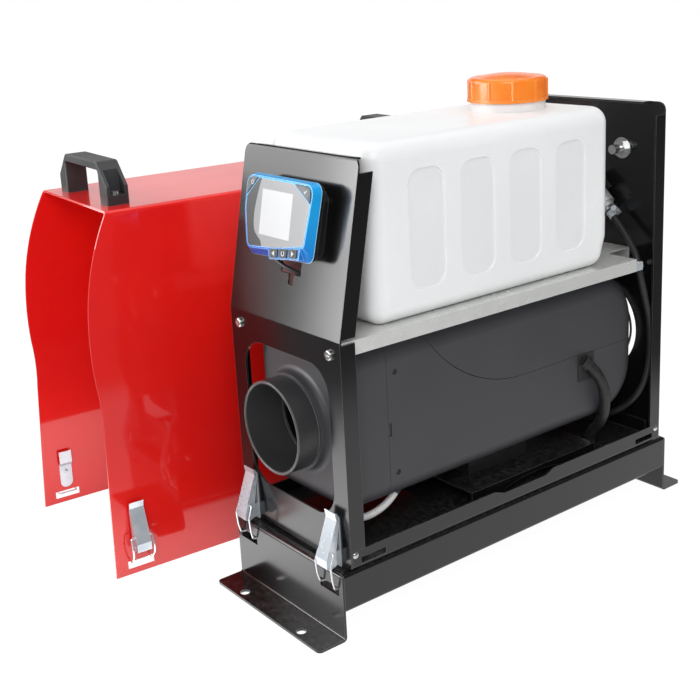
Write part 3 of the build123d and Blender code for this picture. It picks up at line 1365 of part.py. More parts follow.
def handle():
    """Bridge handle: level bar, ends that slope in, and a screw pocket in each foot."""
    half = HANDLE_LENGTH / 2
    top = HANDLE_TOP / 2
    knee = 16.0
    outline = Polygon((-half, 0), (-half, knee), (-top, HANDLE_HEIGHT), (top, HANDLE_HEIGHT),
                      (half, knee), (half, 0), (half - HANDLE_LEG, 0),
                      (half - HANDLE_LEG, HANDLE_HEIGHT - HANDLE_BAR),
                      (HANDLE_LEG - half, HANDLE_HEIGHT - HANDLE_BAR), (HANDLE_LEG - half, 0),
                      align=None)
    corners = [corner for corner in outline.vertices() if corner.Y > 1]
    outline = fillet(corners, 3.0)
    bridge = along(outline, -HANDLE_DEPTH / 2, HANDLE_DEPTH / 2)
    sides = bridge.faces().filter_by(Axis.Y)
    edges = [edge for face in sides for edge in face.edges() if edge.center().Z > 1]
    bridge = chamfer(edges, 0.9)
    for side in (-1, 1):
        inner = half - 12 if side > 0 else -half - 1
        outer = half + 1 if side > 0 else 12 - half
        bridge -= block(inner, outer, -6.6, 6.6, 8.5, HANDLE_HEIGHT - 4)
        bridge -= post(side * (half - 6.5), 0, 2.2, -1, 9)
    return bridge


def handle_places():
    front = COVER_TOP_SETBACK + HANDLE_SETBACK
    rear = COVER_LENGTH - HANDLE_REAR_SETBACK
    return [cover_place() * Pos(0, y, COVER_HEIGHT) for y in (front, rear)]


def cover_handles():
    return [place * handle() for place in handle_places()]


def cover_screws():
    """Screws that hold the handles, with their heads in the pockets."""
    screws = []
    for place in handle_places():
        for side in (-1, 1):
            x = side * (HANDLE_LENGTH / 2 - 6.5)
            head = post(0, 0, 4.2, 8.5, 11.2) + post(0, 0, 2.1, 0, 8.5)
            screws.append(place * Pos(x, 0, 0) * head)
    return screws


def save(name, shape):
    solids = shape if isinstance(shape, list) else [shape]
    flat = [solid for item in solids for solid in item.solids()]
    export_step(flat[0] if len(flat) == 1 else Compound(children=flat), f"parts/{name}.step")


PIECES = {
    "stand_plates": stand_plates,
    "stand_rails": stand_rails,
    "rest_strips": rest_strips,
    "floor_tray": floor_tray,
    "front_panel": front_panel,
    "back_panel": back_panel,
    "shelf": shelf,
    "fuel_tank": fuel_tank,
    "tank_outlet": tank_outlet,
    "cap_gasket": cap_gasket,
    "tank_cap": tank_cap,
    "mount_plate": mount_plate,
    "heater_lid": heater_lid,
    "heater_casing": heater_casing,
    "heater_front_cap": heater_front_cap,
    "outlet_duct": outlet_duct,
    "intake_guard": intake_guard,
    "heat_exchanger": heat_exchanger,
    "burner": burner,
    "glow_plug": glow_plug,
    "motor": motor,
    "fan_rotor": fan_rotor,
    "combustion_fan": combustion_fan,
    "control_board": control_board,
    "exhaust_stub": lambda: air_stub(EXHAUST_X),
    "intake_stub": lambda: air_stub(INTAKE_X),
    "fuel_pump": fuel_pump,
    "pump_holder": pump_holder,
    "suction_hose": suction_hose,
    "fuel_hose": fuel_hose,
    "fuel_line": fuel_line,
    "hose_clamps": hose_clamps,
    "cable_grommet": cable_grommet,
    "heater_cable": heater_cable,
    "power_terminal": power_terminal,
    "panel_screws": panel_screws,
    "controller_case": controller_case,
    "controller_bezel": controller_bezel,
    "controller_lens": controller_lens,
    "controller_display": controller_display,
    "controller_cable": controller_cable,
    "latch_plates": latch_plates,
    "latch_lever_left": lambda: front_lever(-1),
    "latch_lever_right": lambda: front_lever(1),
    "latch_bail_left": lambda: front_bail(-1),
    "latch_bail_right": lambda: front_bail(1),
    "cover_shell": cover_shell,
    "cover_handles": cover_handles,
    "cover_screws": cover_screws,
    "cover_clips": cover_clips,
    "cover_latch_plates": cover_latch_plates,
    "cover_lever_left": lambda: cover_lever(-1),
    "cover_lever_right": lambda: cover_lever(1),
    "cover_bail_left": lambda: cover_bail(-1),
    "cover_bail_right": lambda: cover_bail(1),
}

for piece_name, make in PIECES.items():
    save(piece_name, make())
for piece_name, piece_shape in BUTTONS:
    save(piece_name, button(piece_shape))
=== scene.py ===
"""Looks of an all-in-one diesel air heater, laid out as an add-on and run as a script."""

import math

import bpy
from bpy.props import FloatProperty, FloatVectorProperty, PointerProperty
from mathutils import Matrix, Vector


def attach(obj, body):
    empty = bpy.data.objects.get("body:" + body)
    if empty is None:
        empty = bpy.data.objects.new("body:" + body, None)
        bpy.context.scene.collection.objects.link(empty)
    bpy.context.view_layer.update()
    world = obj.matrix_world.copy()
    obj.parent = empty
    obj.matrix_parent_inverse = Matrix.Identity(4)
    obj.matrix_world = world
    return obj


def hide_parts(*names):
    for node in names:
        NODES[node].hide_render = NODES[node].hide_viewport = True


bl_info = {
    "name": "Diesel Air Heater",
    "version": (1, 0, 0),
    "blender": (4, 5, 0),
    "location": "View3D > Sidebar > Heater",
    "description": "Finishes, hoses and key signs for the packed heater, with its studio",
    "category": "Object",
}

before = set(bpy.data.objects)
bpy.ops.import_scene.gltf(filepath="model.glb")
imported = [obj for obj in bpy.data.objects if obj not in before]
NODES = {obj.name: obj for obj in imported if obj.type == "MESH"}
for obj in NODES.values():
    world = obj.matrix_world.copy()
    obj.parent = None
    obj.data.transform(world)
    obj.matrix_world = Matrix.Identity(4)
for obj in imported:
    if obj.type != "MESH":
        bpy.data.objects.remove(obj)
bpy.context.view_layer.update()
MM = 0.001
WHITE = (1.0, 1.0, 1.0, 1.0)
DUST = (0.30, 0.295, 0.28)

# Places that the source of the part gives, in millimetres
SLOPE_ORIGIN = Vector((4.7, -167.751, 315.546))   # controller's centre on the sloped front
SLOPE_LEAN = 0.196659                             # radians from upright
KEY_TOP = 18.9                                    # key faces above the sloped front
KEY_ROW = (14.0, -23.7)                           # middle key of the lower row, on the slope
KEY_TILT = math.radians(7.5)
KEY_PITCH = 12.2
POWER_KEY = (-33.6, 24.0)
OK_KEY = (34.6, 23.6)
FOOT_TOP = 90.5                                   # the exchanger's foot is darker below this

# Signs on the keys, in millimetres; a ring has its radius, its width, and where it starts and ends
ARROW = [(-1.7, 0.0), (1.4, -2.0), (1.4, 2.0)]
POWER_BAR = [(-0.25, 0.4), (0.25, 0.4), (0.25, 2.2), (-0.25, 2.2)]
TICK = [(-1.9, 0.1), (-1.3, 0.7), (-0.5, -0.2), (1.5, 1.9), (2.0, 1.4), (-0.5, -1.3)]
POWER_RING = (1.6, 0.5, 125, 415)
SET_RING = (1.7, 0.6, -240, 60)
RING_STEPS = 28

# Print on the controller, and painted shade and highlight on its bezel, in metres on the sloped
# front
STRIP_ACROSS = (-0.036, 0.016)
STRIP_UP = (-0.026, 0.028)
STRIP_EDGE = [                                    # shares of the height and of the width
    (0.0, 0.40), (0.13, 0.355), (0.20, 0.25), (0.26, 0.18), (0.36, 0.145), (0.52, 0.135),
    (0.75, 0.175), (1.0, 0.25),
]
DISPLAY_CENTRE = (-0.0010, 0.0034)
DISPLAY_HALF = (0.0196, 0.0171)
BEZEL_FADE = (-0.040, 0.030)                      # from the painted shade at the lower left to the painted highlight at the upper right
BEZEL_LEAN = 0.35                                 # turns the fade towards the right

# Hoses and cables, in millimetres
HOSE_RADIUS = 3.0
LOOM_RADIUS = 5.0
LEAD_RADIUS = 1.7
SUCTION_ROUTE = [
    (-17.6, 169.0, 306.8), (-31.0, 169.0, 318.8), (-47.0, 165.0, 322.0), (-56.0, 151.0, 312.0),
    (-52.0, 138.0, 297.0), (-36.0, 130.5, 282.5), (-36.0, 130.5, 265.5),
]
FUEL_ROUTE = [
    (22.5, 169.0, 270.7), (35.9, 169.0, 258.6), (50.3, 166.0, 244.0), (62.0, 160.0, 235.5),
    (67.2, 158.5, 220.0), (67.0, 166.5, 197.0), (66.8, 175.0, 172.0), (66.4, 176.5, 144.0),
    (64.5, 174.5, 117.0), (55.5, 168.0, 94.0), (36.0, 157.0, 77.0), (12.0, 150.5, 68.5),
    (-14.0, 143.5, 64.5), (-38.0, 136.0, 63.0),
]
LINE_ROUTE = [
    (-38.0, 136.0, 63.0), (-52.4, 131.5, 62.1), (-64.8, 120.0, 61.8), (-65.8, 88.5, 61.6),
    (-66.4, 43.5, 61.8), (-66.0, -6.5, 61.7), (-64.8, -50.5, 61.8), (-55.0, -86.5, 62.6),
    (-34.0, -114.5, 64.0), (-10.0, -133.5, 66.0), (6.7, -147.6, 68.0), (19.0, -151.5, 70.0),
    (31.3, -147.6, 72.0), (39.2, -137.4, 74.5), (40.0, -118.9, 80.1), (40.0, -112.0, 87.0),
]
LOOM_ROUTE = [
    (60.0, 97.5, 148.0), (64.0, 104.5, 141.0), (66.0, 114.0, 121.0), (62.5, 118.0, 99.0),
    (54.0, 120.0, 83.0), (45.0, 121.0, 74.0), (42.0, 121.0, 65.0), (42.0, 121.0, 58.1),
]
LEAD_ROUTE = [
    (-19.8, -176.4, 295.9), (-13.8, -178.5, 287.1), (0.2, -179.2, 281.6), (10.2, -175.7, 278.4),
    (14.5, -166.5, 272.5), (16.0, -169.5, 254.5), (16.0, -169.5, 229.0), (17.0, -157.5, 227.0),
    (19.0, -135.5, 229.5), (17.0, -107.5, 230.0), (14.0, -93.5, 229.0), (14.0, -89.5, 225.5),
    (14.0, -89.5, 222.0),
]

# The studio: lengths in metres, strengths as the shaders take them
FLOOR_SIZE = 14.0
FLOOR_GLOW = 1.08                # strength of the floor's own light for the camera
OPEN_FLOOR = 0.9                 # share of that light on the open floor
SHADE_HALF_WIDTH = 0.018         # floor under the stand, which stays in shadow
SHADE_HALF_LENGTH = 0.185
SHADE_BLUR = 0.012
MIRROR_FADE = (0.42, 0.60)       # where the floor darkens in reflections
SPILL_PLACE = (-0.14, -0.32, 0)  # brighter spot in front of the stand, in reflections
SPILL_FADE = (0.06, 0.30)
SPILL_GLOW = 2.1
SURROUND_MIRROR = 0.12           # strength of the surround in reflections
AIM = (-0.05, 0.0, 0.17)
LAMPS = [                        # name, its setting, place, size, aim, and whether in gloss only
    ("softbox_key", "key", (1.5, -1.3, 1.5), (1.2, 1.2), AIM, False),
    ("softbox_side", "side", (-1.7, -1.1, 1.1), (1.0, 1.5), AIM, False),
    ("panel_low", "low", (-0.35, -0.84, 0.42), (0.62, 0.55), (0.0, -0.17, 0.30), True),
    ("panel_back", "back", (-1.5, 1.25, 0.62), (2.2, 0.9), AIM, True),
    ("softbox_top", "top", (-0.2, 0.3, 1.9), (1.8, 1.5), AIM, False),
]

# The camera: degrees round from the front, up and rolled; lens and sensor in millimetres
CAMERA_TURN, CAMERA_RISE, CAMERA_ROLL = 52.8, 15.27, -2.92
CAMERA_PLACE = (0.7020, -0.6493, 0.4901)
CAMERA_LENS = 59.25
CAMERA_SENSOR = 36.0
CAMERA_SHIFT = -0.0857


def colour(name, text, value):
    """A colour setting."""
    return FloatVectorProperty(name=name, description=text, default=value, subtype="COLOR",
                               min=0.0, max=1.0)


class HeaterColours(bpy.types.PropertyGroup):
    """Colours that a user would change."""
    sheet: colour("Chassis", "Powder coat of the stand and the chassis", (0.0045, 0.0045, 0.0048))
    cover: colour("Cover", "Gloss paint of the lift-off cover", (0.80, 0.010, 0.006))
    tank: colour("Tank", "Natural polythene of the fuel tank", (0.90, 0.905, 0.91))
    cap: colour("Cap", "Plastic of the tank's screw cap", (0.93, 0.165, 0.006))
    casing: colour("Casing", "Moulded plastic of the heater's casing", (0.040, 0.040, 0.046))
    # One blue lacquer, painted lit at the upper right and painted in shade at the lower left
    bezel_lit: colour("Bezel, upper", "Lacquer at the bezel's upper right", (0.004, 0.31, 0.70))
    bezel_shaded: colour("Bezel, lower", "Lacquer at the bezel's lower left", (0.001, 0.12, 0.56))
    handle: colour("Handles", "Moulded plastic of the two handles", (0.030, 0.030, 0.032))


class HeaterFinish(bpy.types.PropertyGroup):
    """Sizes and amounts of the surface detail."""
    # Width of the painted highlight along the edges
    edge: FloatProperty(name="Edge width", description="Width of the bright line along an edge",
                        default=0.0009, min=0.0001, max=0.005, unit="LENGTH")
    peel: FloatProperty(name="Orange peel", description="Depth of the ripple in the gloss paint",
                        default=0.10, min=0.0, max=1.0, subtype="FACTOR")
    dust: FloatProperty(name="Dust", description="Dust settled on upward faces",
                        default=0.10, min=0.0, max=1.0, subtype="FACTOR")
    sign: FloatProperty(name="Sign height", description="Thickness of the signs on the keys",
                        default=0.00015, min=0.00005, max=0.001, unit="LENGTH")


class StudioLight(bpy.types.PropertyGroup):
    """Strengths of the studio's lamps and of its backdrop."""
    key: FloatProperty(name="Key", description="Softbox at the front right", default=22.0,
                       min=0.0, unit="POWER")
    side: FloatProperty(name="Side", description="Softbox at the left", default=20.0,
                        min=0.0, unit="POWER")
    low: FloatProperty(name="Low", description="Gloss panel low at the front", default=9.5,
                       min=0.0, unit="POWER")
    back: FloatProperty(name="Back", description="Gloss panel behind at the left", default=4.5,
                        min=0.0, unit="POWER")
    top: FloatProperty(name="Top", description="Softbox overhead", default=11.0,
                       min=0.0, unit="POWER")
    fill: FloatProperty(name="Fill", description="Strength of the surround's light",
                        default=0.67, min=0.0, max=2.0)


# Ways to build a node tree

def feed(tree, value, socket):
    """Links a socket to another, or sets its value."""
    if isinstance(value, bpy.types.NodeSocket):
        tree.links.new(value, socket)
    else:
        socket.default_value = value


def add(tree, kind, inputs=None, **settings):
    """A node with its settings, and its inputs fed by name or number."""
    made = tree.nodes.new(kind)
    for name, value in settings.items():
        setattr(made, name, value)
    for name, value in (inputs or {}).items():
        feed(tree, value, made.inputs[name])
    return made


def shade(rgb):
    """A colour as a socket takes it."""
    return (*rgb, 1.0)


def toned(rgb, factor):
    """A colour made lighter or darker."""
    return tuple(factor * c for c in rgb)


def mixed(tree, factor, a, b):
    """Colour a turned into b by the factor."""
    return add(tree, "ShaderNodeMix", {0: factor, 6: a, 7: b}, data_type="RGBA").outputs[2]


def reckon(tree, operation, a, b=0.0, clamp=False):
    """The result of one sum or comparison."""
    made = add(tree, "ShaderNodeMath", {0: a, 1: b}, operation=operation, use_clamp=clamp)
    return made.outputs[0]


def spread(tree, value, low, high, to_low, to_high, smooth=False):
    """A value carried from one range to another."""
    ranges = {"From Min": low, "From Max": high, "To Min": to_low, "To Max": to_high}
    made = add(tree, "ShaderNodeMapRange", {"Value": value, **ranges},
               interpolation_type="SMOOTHSTEP" if smooth else "LINEAR")
    return made.outputs["Result"]


def on_object(tree, turn=(0, 0, 0), origin=(0, 0, 0)):
    """Object coordinates in metres, from an origin and turned to a piece's own axes."""
    place = add(tree, "ShaderNodeTexCoord").outputs["Object"]
    if any(origin):
        moved = add(tree, "ShaderNodeVectorMath", {0: place, 1: origin}, operation="SUBTRACT")
        place = moved.outputs[0]
    if any(turn):
        place = add(tree, "ShaderNodeMapping", {"Vector": place, "Rotation": turn}).outputs[0]
    return place


# Effects that several materials share

def new_group(name, inputs, outputs):
    """An empty node group with its sockets."""
    tree = bpy.data.node_groups.new(name, "ShaderNodeTree")
    for title, default in inputs:
        socket = tree.interface.new_socket(title, in_out="INPUT", socket_type="NodeSocketFloat")
        socket.default_value = default
    for title in outputs:
        tree.interface.new_socket(title, in_out="OUTPUT", socket_type="NodeSocketFloat")
    return tree, tree.nodes.new("NodeGroupInput").outputs, tree.nodes.new("NodeGroupOutput").inputs


def painted_edge_highlight_group():
    """Mask of the outer edges where a painted highlight goes, from the angle between the rounded
    and the true normal.
    """
    tree, given, result = new_group("edge_line", [("Width", 0.001), ("Gain", 6.0)], ["Mask"])
    rounded = add(tree, "ShaderNodeBevel", {"Radius": given["Width"]}, samples=6)
    true = add(tree, "ShaderNodeNewGeometry").outputs["Normal"]
    level = add(tree, "ShaderNodeVectorMath", {0: rounded.outputs[0], 1: true},
                operation="DOT_PRODUCT").outputs["Value"]
    away = reckon(tree, "SUBTRACT", 1.0, level)
    feed(tree, reckon(tree, "MULTIPLY", away, given["Gain"], clamp=True), result["Mask"])
    return tree


def grain_group():
    """Fine grain and broad clouds on object coordinates."""
    tree, given, result = new_group("grain", [("Grain", 900.0), ("Cloud", 14.0)],
                                    ["Height", "Cloud"])
    place = on_object(tree)
    fine = add(tree, "ShaderNodeTexNoise",
               {"Vector": place, "Scale": given["Grain"], "Detail": 2.0})
    broad = add(tree, "ShaderNodeTexNoise",
                {"Vector": place, "Scale": given["Cloud"], "Detail": 4.0})
    feed(tree, fine.outputs["Fac"], result["Height"])
    feed(tree, broad.outputs["Fac"], result["Cloud"])
    return tree


def dust_group():
    """Mask of dust that has settled on upward faces."""
    tree, given, result = new_group("settled_dust", [("Amount", 0.2)], ["Mask"])
    normal = add(tree, "ShaderNodeNewGeometry").outputs["Normal"]
    upward = add(tree, "ShaderNodeSeparateXYZ", {0: normal}).outputs["Z"]
    flat = spread(tree, upward, 0.6, 1.0, 0.0, 1.0, smooth=True)
    specks = add(tree, "ShaderNodeTexNoise",
                 {"Vector": on_object(tree), "Scale": 260.0, "Detail": 5.0})
    patchy = spread(tree, specks.outputs["Fac"], 0.42, 0.72, 0.1, 1.0)
    lying = reckon(tree, "MULTIPLY", flat, patchy)
    feed(tree, reckon(tree, "MULTIPLY", lying, given["Amount"], clamp=True), result["Mask"])
    return tree


GROUPS = {"edge_line": painted_edge_highlight_group, "grain": grain_group, "settled_dust": dust_group}


def effect(tree, name, **values):
    """A shared group, built when first needed, placed in a material with its own values."""
    group = bpy.data.node_groups.get(name) or GROUPS[name]()
    return add(tree, "ShaderNodeGroup", values, node_tree=group).outputs


def with_painted_edge_highlight(tree, tint, paint, width, gain):
    """The tint with a painted highlight in the colour paint along the outer edges."""
    line = effect(tree, "edge_line", Width=width, Gain=gain)["Mask"]
    return mixed(tree, line, tint, shade(paint))


def new_material(name, **sockets):
    """A material whose shader has these plain values."""
    material = bpy.data.materials.new(name)
    material.use_nodes = True
    shader = material.node_tree.nodes["Principled BSDF"]
    for title, value in sockets.items():
        shader.inputs[title.replace("_", " ")].default_value = value
    return material, material.node_tree, shader


def gloss(tree, shader, clouds, low, high):
    """Roughness that follows the clouds."""
    feed(tree, spread(tree, clouds, 0.3, 0.7, low, high), shader.inputs["Roughness"])


def roughen(tree, shader, height, strength, distance):
    """Fine relief on a surface."""
    relief = {"Height": height, "Strength": strength, "Distance": distance}
    bump = add(tree, "ShaderNodeBump", relief)
    feed(tree, bump.outputs[0], shader.inputs["Normal"])


def surface(name, base, second, rough, bump, grain=900.0, cloud=14.0, depth=0.0002,
            edge=None, edge_gain=6.0, edge_width=None, dust=0.0, below=None, **sockets):
    """A finish with clouded colour and gloss, fine grain, a painted highlight along the edges and
    settled dust.

    Lengths are in metres; edge holds the colour of the painted highlight along the outer edges, and
    below holds a height and the colour under it."""
    finish = bpy.context.scene.heater_finish
    material, tree, shader = new_material(name, **sockets)
    grains = effect(tree, "grain", Grain=grain, Cloud=cloud)
    clouds = spread(tree, grains["Cloud"], 0.35, 0.65, 0.0, 1.0, smooth=True)
    tint = mixed(tree, clouds, shade(base), shade(second))
    # painted highlight along the outer edges, in the colour edge
    if edge:
        tint = with_painted_edge_highlight(tree, tint, edge, edge_width or finish.edge, edge_gain)
    if dust:
        lying = effect(tree, "settled_dust", Amount=dust)["Mask"]
        tint = mixed(tree, lying, tint, shade(DUST))
    if below:
        height, paint = below
        level = add(tree, "ShaderNodeSeparateXYZ", {0: on_object(tree)}).outputs["Z"]
        tint = mixed(tree, reckon(tree, "LESS_THAN", level, height), tint, shade(paint))
    feed(tree, tint, shader.inputs["Base Color"])
    gloss(tree, shader, grains["Cloud"], *rough)
    roughen(tree, shader, grains["Height"], bump, depth)
    return material


def coat(material, *names):
    """Gives CAD nodes a material."""
    for name in names:
        piece = NODES[name]
        if piece.material_slots:
            for holder in piece.material_slots:
                holder.material = material
        else:
            piece.data.materials.append(material)


# Materials with a build of their own

def plated(name, base, second, rough, **sockets):
    """Plated metal with cloudy plating, a fine grain and a painted highlight along its edges."""
    material, tree, shader = new_material(name, **sockets)
    grains = effect(tree, "grain", Grain=1400.0, Cloud=70.0)
    clouds = spread(tree, grains["Cloud"], 0.35, 0.65, 0.0, 1.0)
    tint = mixed(tree, clouds, shade(base), shade(second))
    # painted highlight along the edges
    tint = with_painted_edge_highlight(tree, tint, (0.86, 0.88, 0.90), width=0.0006, gain=4.0)
    feed(tree, tint, shader.inputs["Base Color"])
    gloss(tree, shader, grains["Cloud"], *rough)
    roughen(tree, shader, grains["Height"], strength=0.04, distance=0.0001)
    return material


def spangled_zinc():
    """Hot-dipped zinc with its crystals, on the shelf, with a painted highlight along its edges."""
    material, tree, shader = new_material("galvanised_shelf", Metallic=0.5)
    crystals = add(tree, "ShaderNodeTexVoronoi", {"Vector": on_object(tree), "Scale": 130.0})
    grey = add(tree, "ShaderNodeSeparateColor", {0: crystals.outputs["Color"]}).outputs[0]
    tint = mixed(tree, grey, shade((0.82, 0.83, 0.81)), shade((0.85, 0.86, 0.84)))
    # painted highlight along the edges
    tint = with_painted_edge_highlight(tree, tint, (0.88, 0.89, 0.90), width=0.0008, gain=6.0)
    feed(tree, tint, shader.inputs["Base Color"])
    feed(tree, spread(tree, grey, 0.0, 1.0, 0.22, 0.28), shader.inputs["Roughness"])
    grains = effect(tree, "grain", Grain=900.0, Cloud=20.0)
    roughen(tree, shader, grains["Height"], strength=0.03, distance=0.0001)
    return material


def tank_polythene():
    """Milky blow-moulded wall with soft clouds, and a painted highlight along its edges."""
    colours = bpy.context.scene.heater_colours
    material, tree, shader = new_material(
        "tank_polythene", Subsurface_Weight=0.35, Subsurface_Scale=0.012, IOR=1.5,
        Subsurface_Radius=(1.0, 0.95, 0.9), Coat_Weight=0.15, Coat_Roughness=0.25)
    grains = effect(tree, "grain", Grain=420.0, Cloud=9.0)
    clouds = spread(tree, grains["Cloud"], 0.3, 0.7, 0.0, 1.0, smooth=True)
    tint = mixed(tree, clouds, shade(colours.tank), shade(toned(colours.tank, 0.94)))
    # painted highlight along the edges
    tint = with_painted_edge_highlight(tree, tint, (0.93, 0.935, 0.94), width=0.004, gain=2.2)
    feed(tree, tint, shader.inputs["Base Color"])
    gloss(tree, shader, grains["Cloud"], 0.24, 0.36)
    roughen(tree, shader, grains["Cloud"], strength=0.25, distance=0.002)
    return material


def slope_place(tree):
    """Coordinates on the sloped front in metres: right, up the slope and out."""
    return on_object(tree, origin=SLOPE_ORIGIN * MM, turn=(SLOPE_LEAN - math.pi / 2, 0, 0))


def blue_bezel():
    """Blue lacquer with painted light: a painted highlight at the upper right, painted shade at the
    lower left, and a painted highlight along its edges.
    """
    colours = bpy.context.scene.heater_colours
    material, tree, shader = new_material("blue_bezel", Metallic=0.1, Specular_IOR_Level=0.35)
    axes = add(tree, "ShaderNodeSeparateXYZ", {0: slope_place(tree)}).outputs
    # painted shading: lit at the upper right, in shade at the lower left
    rise = reckon(tree, "ADD", reckon(tree, "MULTIPLY", axes["X"], BEZEL_LEAN), axes["Y"])
    tint = mixed(tree, spread(tree, rise, *BEZEL_FADE, 0.0, 1.0, smooth=True),
                 shade(colours.bezel_shaded), shade(colours.bezel_lit))
    # painted highlight along the edges
    tint = with_painted_edge_highlight(tree, tint, (0.52, 0.80, 0.95), width=0.0007, gain=7.0)
    feed(tree, tint, shader.inputs["Base Color"])
    flakes = effect(tree, "grain", Grain=3200.0, Cloud=30.0)
    gloss(tree, shader, flakes["Cloud"], 0.24, 0.34)
    roughen(tree, shader, flakes["Height"], strength=0.04, distance=0.0001)
    return material


def printed_lens():
    """Grey glass with a black printed strip at the left and the pale display."""
    material, tree, shader = new_material("printed_lens", Coat_Weight=0.25, Coat_Roughness=0.25,
                                          IOR=1.35)
    axes = add(tree, "ShaderNodeSeparateXYZ", {0: slope_place(tree)}).outputs
    along = spread(tree, axes["X"], *STRIP_ACROSS, 0.0, 1.0)
    up = spread(tree, axes["Y"], *STRIP_UP, 0.0, 1.0)
    edge = add(tree, "ShaderNodeFloatCurve", {"Factor": 1.0, "Value": up})
    line = edge.mapping.curves[0]
    line.points[0].location = STRIP_EDGE[0]
    line.points[1].location = STRIP_EDGE[-1]
    for mark in STRIP_EDGE[1:-1]:
        line.points.new(*mark)
    edge.mapping.update()
    strip = reckon(tree, "LESS_THAN", along, edge.outputs[0])
    noise = {"Vector": slope_place(tree), "Scale": 22.0, "Detail": 2.0}
    haze = add(tree, "ShaderNodeTexNoise", noise).outputs["Fac"]
    grey = mixed(tree, haze, shade((0.25, 0.255, 0.265)), shade((0.32, 0.325, 0.335)))
    tint = mixed(tree, strip, grey, shade((0.006, 0.006, 0.007)))
    within = []
    for axis, centre, half in zip("XY", DISPLAY_CENTRE, DISPLAY_HALF):
        off = reckon(tree, "ABSOLUTE", reckon(tree, "SUBTRACT", axes[axis], centre))
        within.append(reckon(tree, "LESS_THAN", off, half))
    panel = mixed(tree, haze, shade((0.55, 0.56, 0.57)), shade((0.63, 0.64, 0.65)))
    tint = mixed(tree, reckon(tree, "MULTIPLY", *within), tint, panel)
    feed(tree, tint, shader.inputs["Base Color"])
    gloss(tree, shader, haze, 0.28, 0.36)
    return material


def circuit_green():
    """Solder resist with copper tracks under it."""
    material, tree, shader = new_material("circuit_board", Coat_Weight=0.4)
    tracks = add(tree, "ShaderNodeTexBrick", {
        "Vector": on_object(tree), "Scale": 190.0, "Mortar Size": 0.03,
        "Color1": shade((0.02, 0.16, 0.06)), "Color2": shade((0.015, 0.12, 0.05)),
        "Mortar": shade((0.09, 0.30, 0.12))})
    feed(tree, tracks.outputs["Color"], shader.inputs["Base Color"])
    grains = effect(tree, "grain", Grain=800.0, Cloud=50.0)
    gloss(tree, shader, grains["Cloud"], 0.3, 0.45)
    roughen(tree, shader, tracks.outputs["Fac"], strength=0.2, distance=0.0001)
    return material


# Modelling helpers

def settle(piece, name, material, body):
    """Bakes a piece's place into its mesh, names it, and ties it to its body."""
    bpy.ops.object.select_all(action="DESELECT")
    piece.select_set(True)
    bpy.context.view_layer.objects.active = piece
    bpy.ops.object.transform_apply(location=True, rotation=True, scale=True)
    piece.name = name
    piece.data.name = name
    piece.data.materials.clear()
    piece.data.materials.append(material)
    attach(piece, body)


def on_slope(u, v, w, turn=0.0):
    """Place on the sloped front from millimetres right, up the slope and out of it."""
    tilt = Matrix.Rotation(math.pi / 2 - SLOPE_LEAN, 4, "X")
    centre = Matrix.Translation(SLOPE_ORIGIN * MM)
    place = Matrix.Translation((u * MM, v * MM, w * MM))
    return centre @ tilt @ place @ Matrix.Rotation(turn, 4, "Z")


def flat_sign(outline, height):
    """A thin raised sign from its outline's corners in millimetres and its height in metres."""
    bpy.ops.object.select_all(action="DESELECT")
    bpy.ops.mesh.primitive_circle_add(vertices=len(outline), radius=MM, fill_type="NGON")
    piece = bpy.context.object
    for corner, (x, y) in zip(piece.data.vertices, outline):
        corner.co = (x * MM, y * MM, 0)
    bpy.ops.object.mode_set(mode="EDIT")
    bpy.ops.mesh.select_all(action="SELECT")
    bpy.ops.mesh.extrude_region_move(TRANSFORM_OT_translate={"value": (0, 0, height)})
    bpy.ops.mesh.select_all(action="SELECT")
    bpy.ops.mesh.normals_make_consistent(inside=False)
    bpy.ops.object.mode_set(mode="OBJECT")
    return piece


def arc_outline(radius, width, start, end):
    """Outline of an open ring, anticlockwise from start to end in degrees."""
    steps = range(RING_STEPS + 1)
    turns = [math.radians(start + (end - start) * step / RING_STEPS) for step in steps]
    outer, inner = ([(reach * math.cos(t), reach * math.sin(t)) for t in turns]
                    for reach in (radius + width / 2, radius - width / 2))
    return outer + inner[::-1]


def joined(pieces):
    """One piece made of several."""
    bpy.ops.object.select_all(action="DESELECT")
    for piece in pieces:
        piece.select_set(True)
    bpy.context.view_layer.objects.active = pieces[0]
    bpy.ops.object.join()
    return bpy.context.object


def hose_curve(name, route, radius, material, node):
    """A hose on a smooth line through its route, in place of the plain one."""
    line = bpy.data.curves.new(name, "CURVE")
    line.dimensions = "3D"
    spline = line.splines.new("NURBS")
    spline.points.add(len(route) - 1)
    for point, place in zip(spline.points, route):
        point.co = (*(c * MM for c in place), 1.0)
    spline.order_u = 3
    spline.use_endpoint_u = True
    line.resolution_u = 8
    line.bevel_depth = radius * MM
    line.bevel_resolution = 6
    line.use_fill_caps = True
    piece = bpy.data.objects.new(name, line)
    bpy.context.scene.collection.objects.link(piece)
    line.materials.append(material)
    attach(piece, "chassis")
    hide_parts(node)


# Operators, one for each group of pieces and one for the stage

class HEATER_OT_sheet_metal(bpy.types.Operator):
    """Powder coat on the stand and chassis, zinc on the shelf, and the rubber strips"""
    bl_idname = "heater.sheet_metal"
    bl_label = "Sheet Metal"

    def execute(self, context):
        base = tuple(context.scene.heater_colours.sheet)
        dust = context.scene.heater_finish.dust
        # edge is a painted highlight along the sheet's edges
        black = surface("powder_coat", base, toned(base, 1.35), rough=(0.15, 0.21),
                        grain=1500.0, cloud=7.0, bump=0.05, depth=0.0001, edge=(0.22, 0.22, 0.23),
                        edge_gain=2.0, edge_width=0.0005, dust=dust, IOR=1.52)
        coat(black, "stand_plates", "stand_rails", "floor_tray", "front_panel", "back_panel",
             "mount_plate")
        coat(spangled_zinc(), "shelf")
        strip = surface("strip_rubber", (0.010, 0.010, 0.010), (0.018, 0.018, 0.018),
                        rough=(0.75, 0.9), grain=2200.0, bump=0.4)
        coat(strip, "rest_strips")
        return {"FINISHED"}


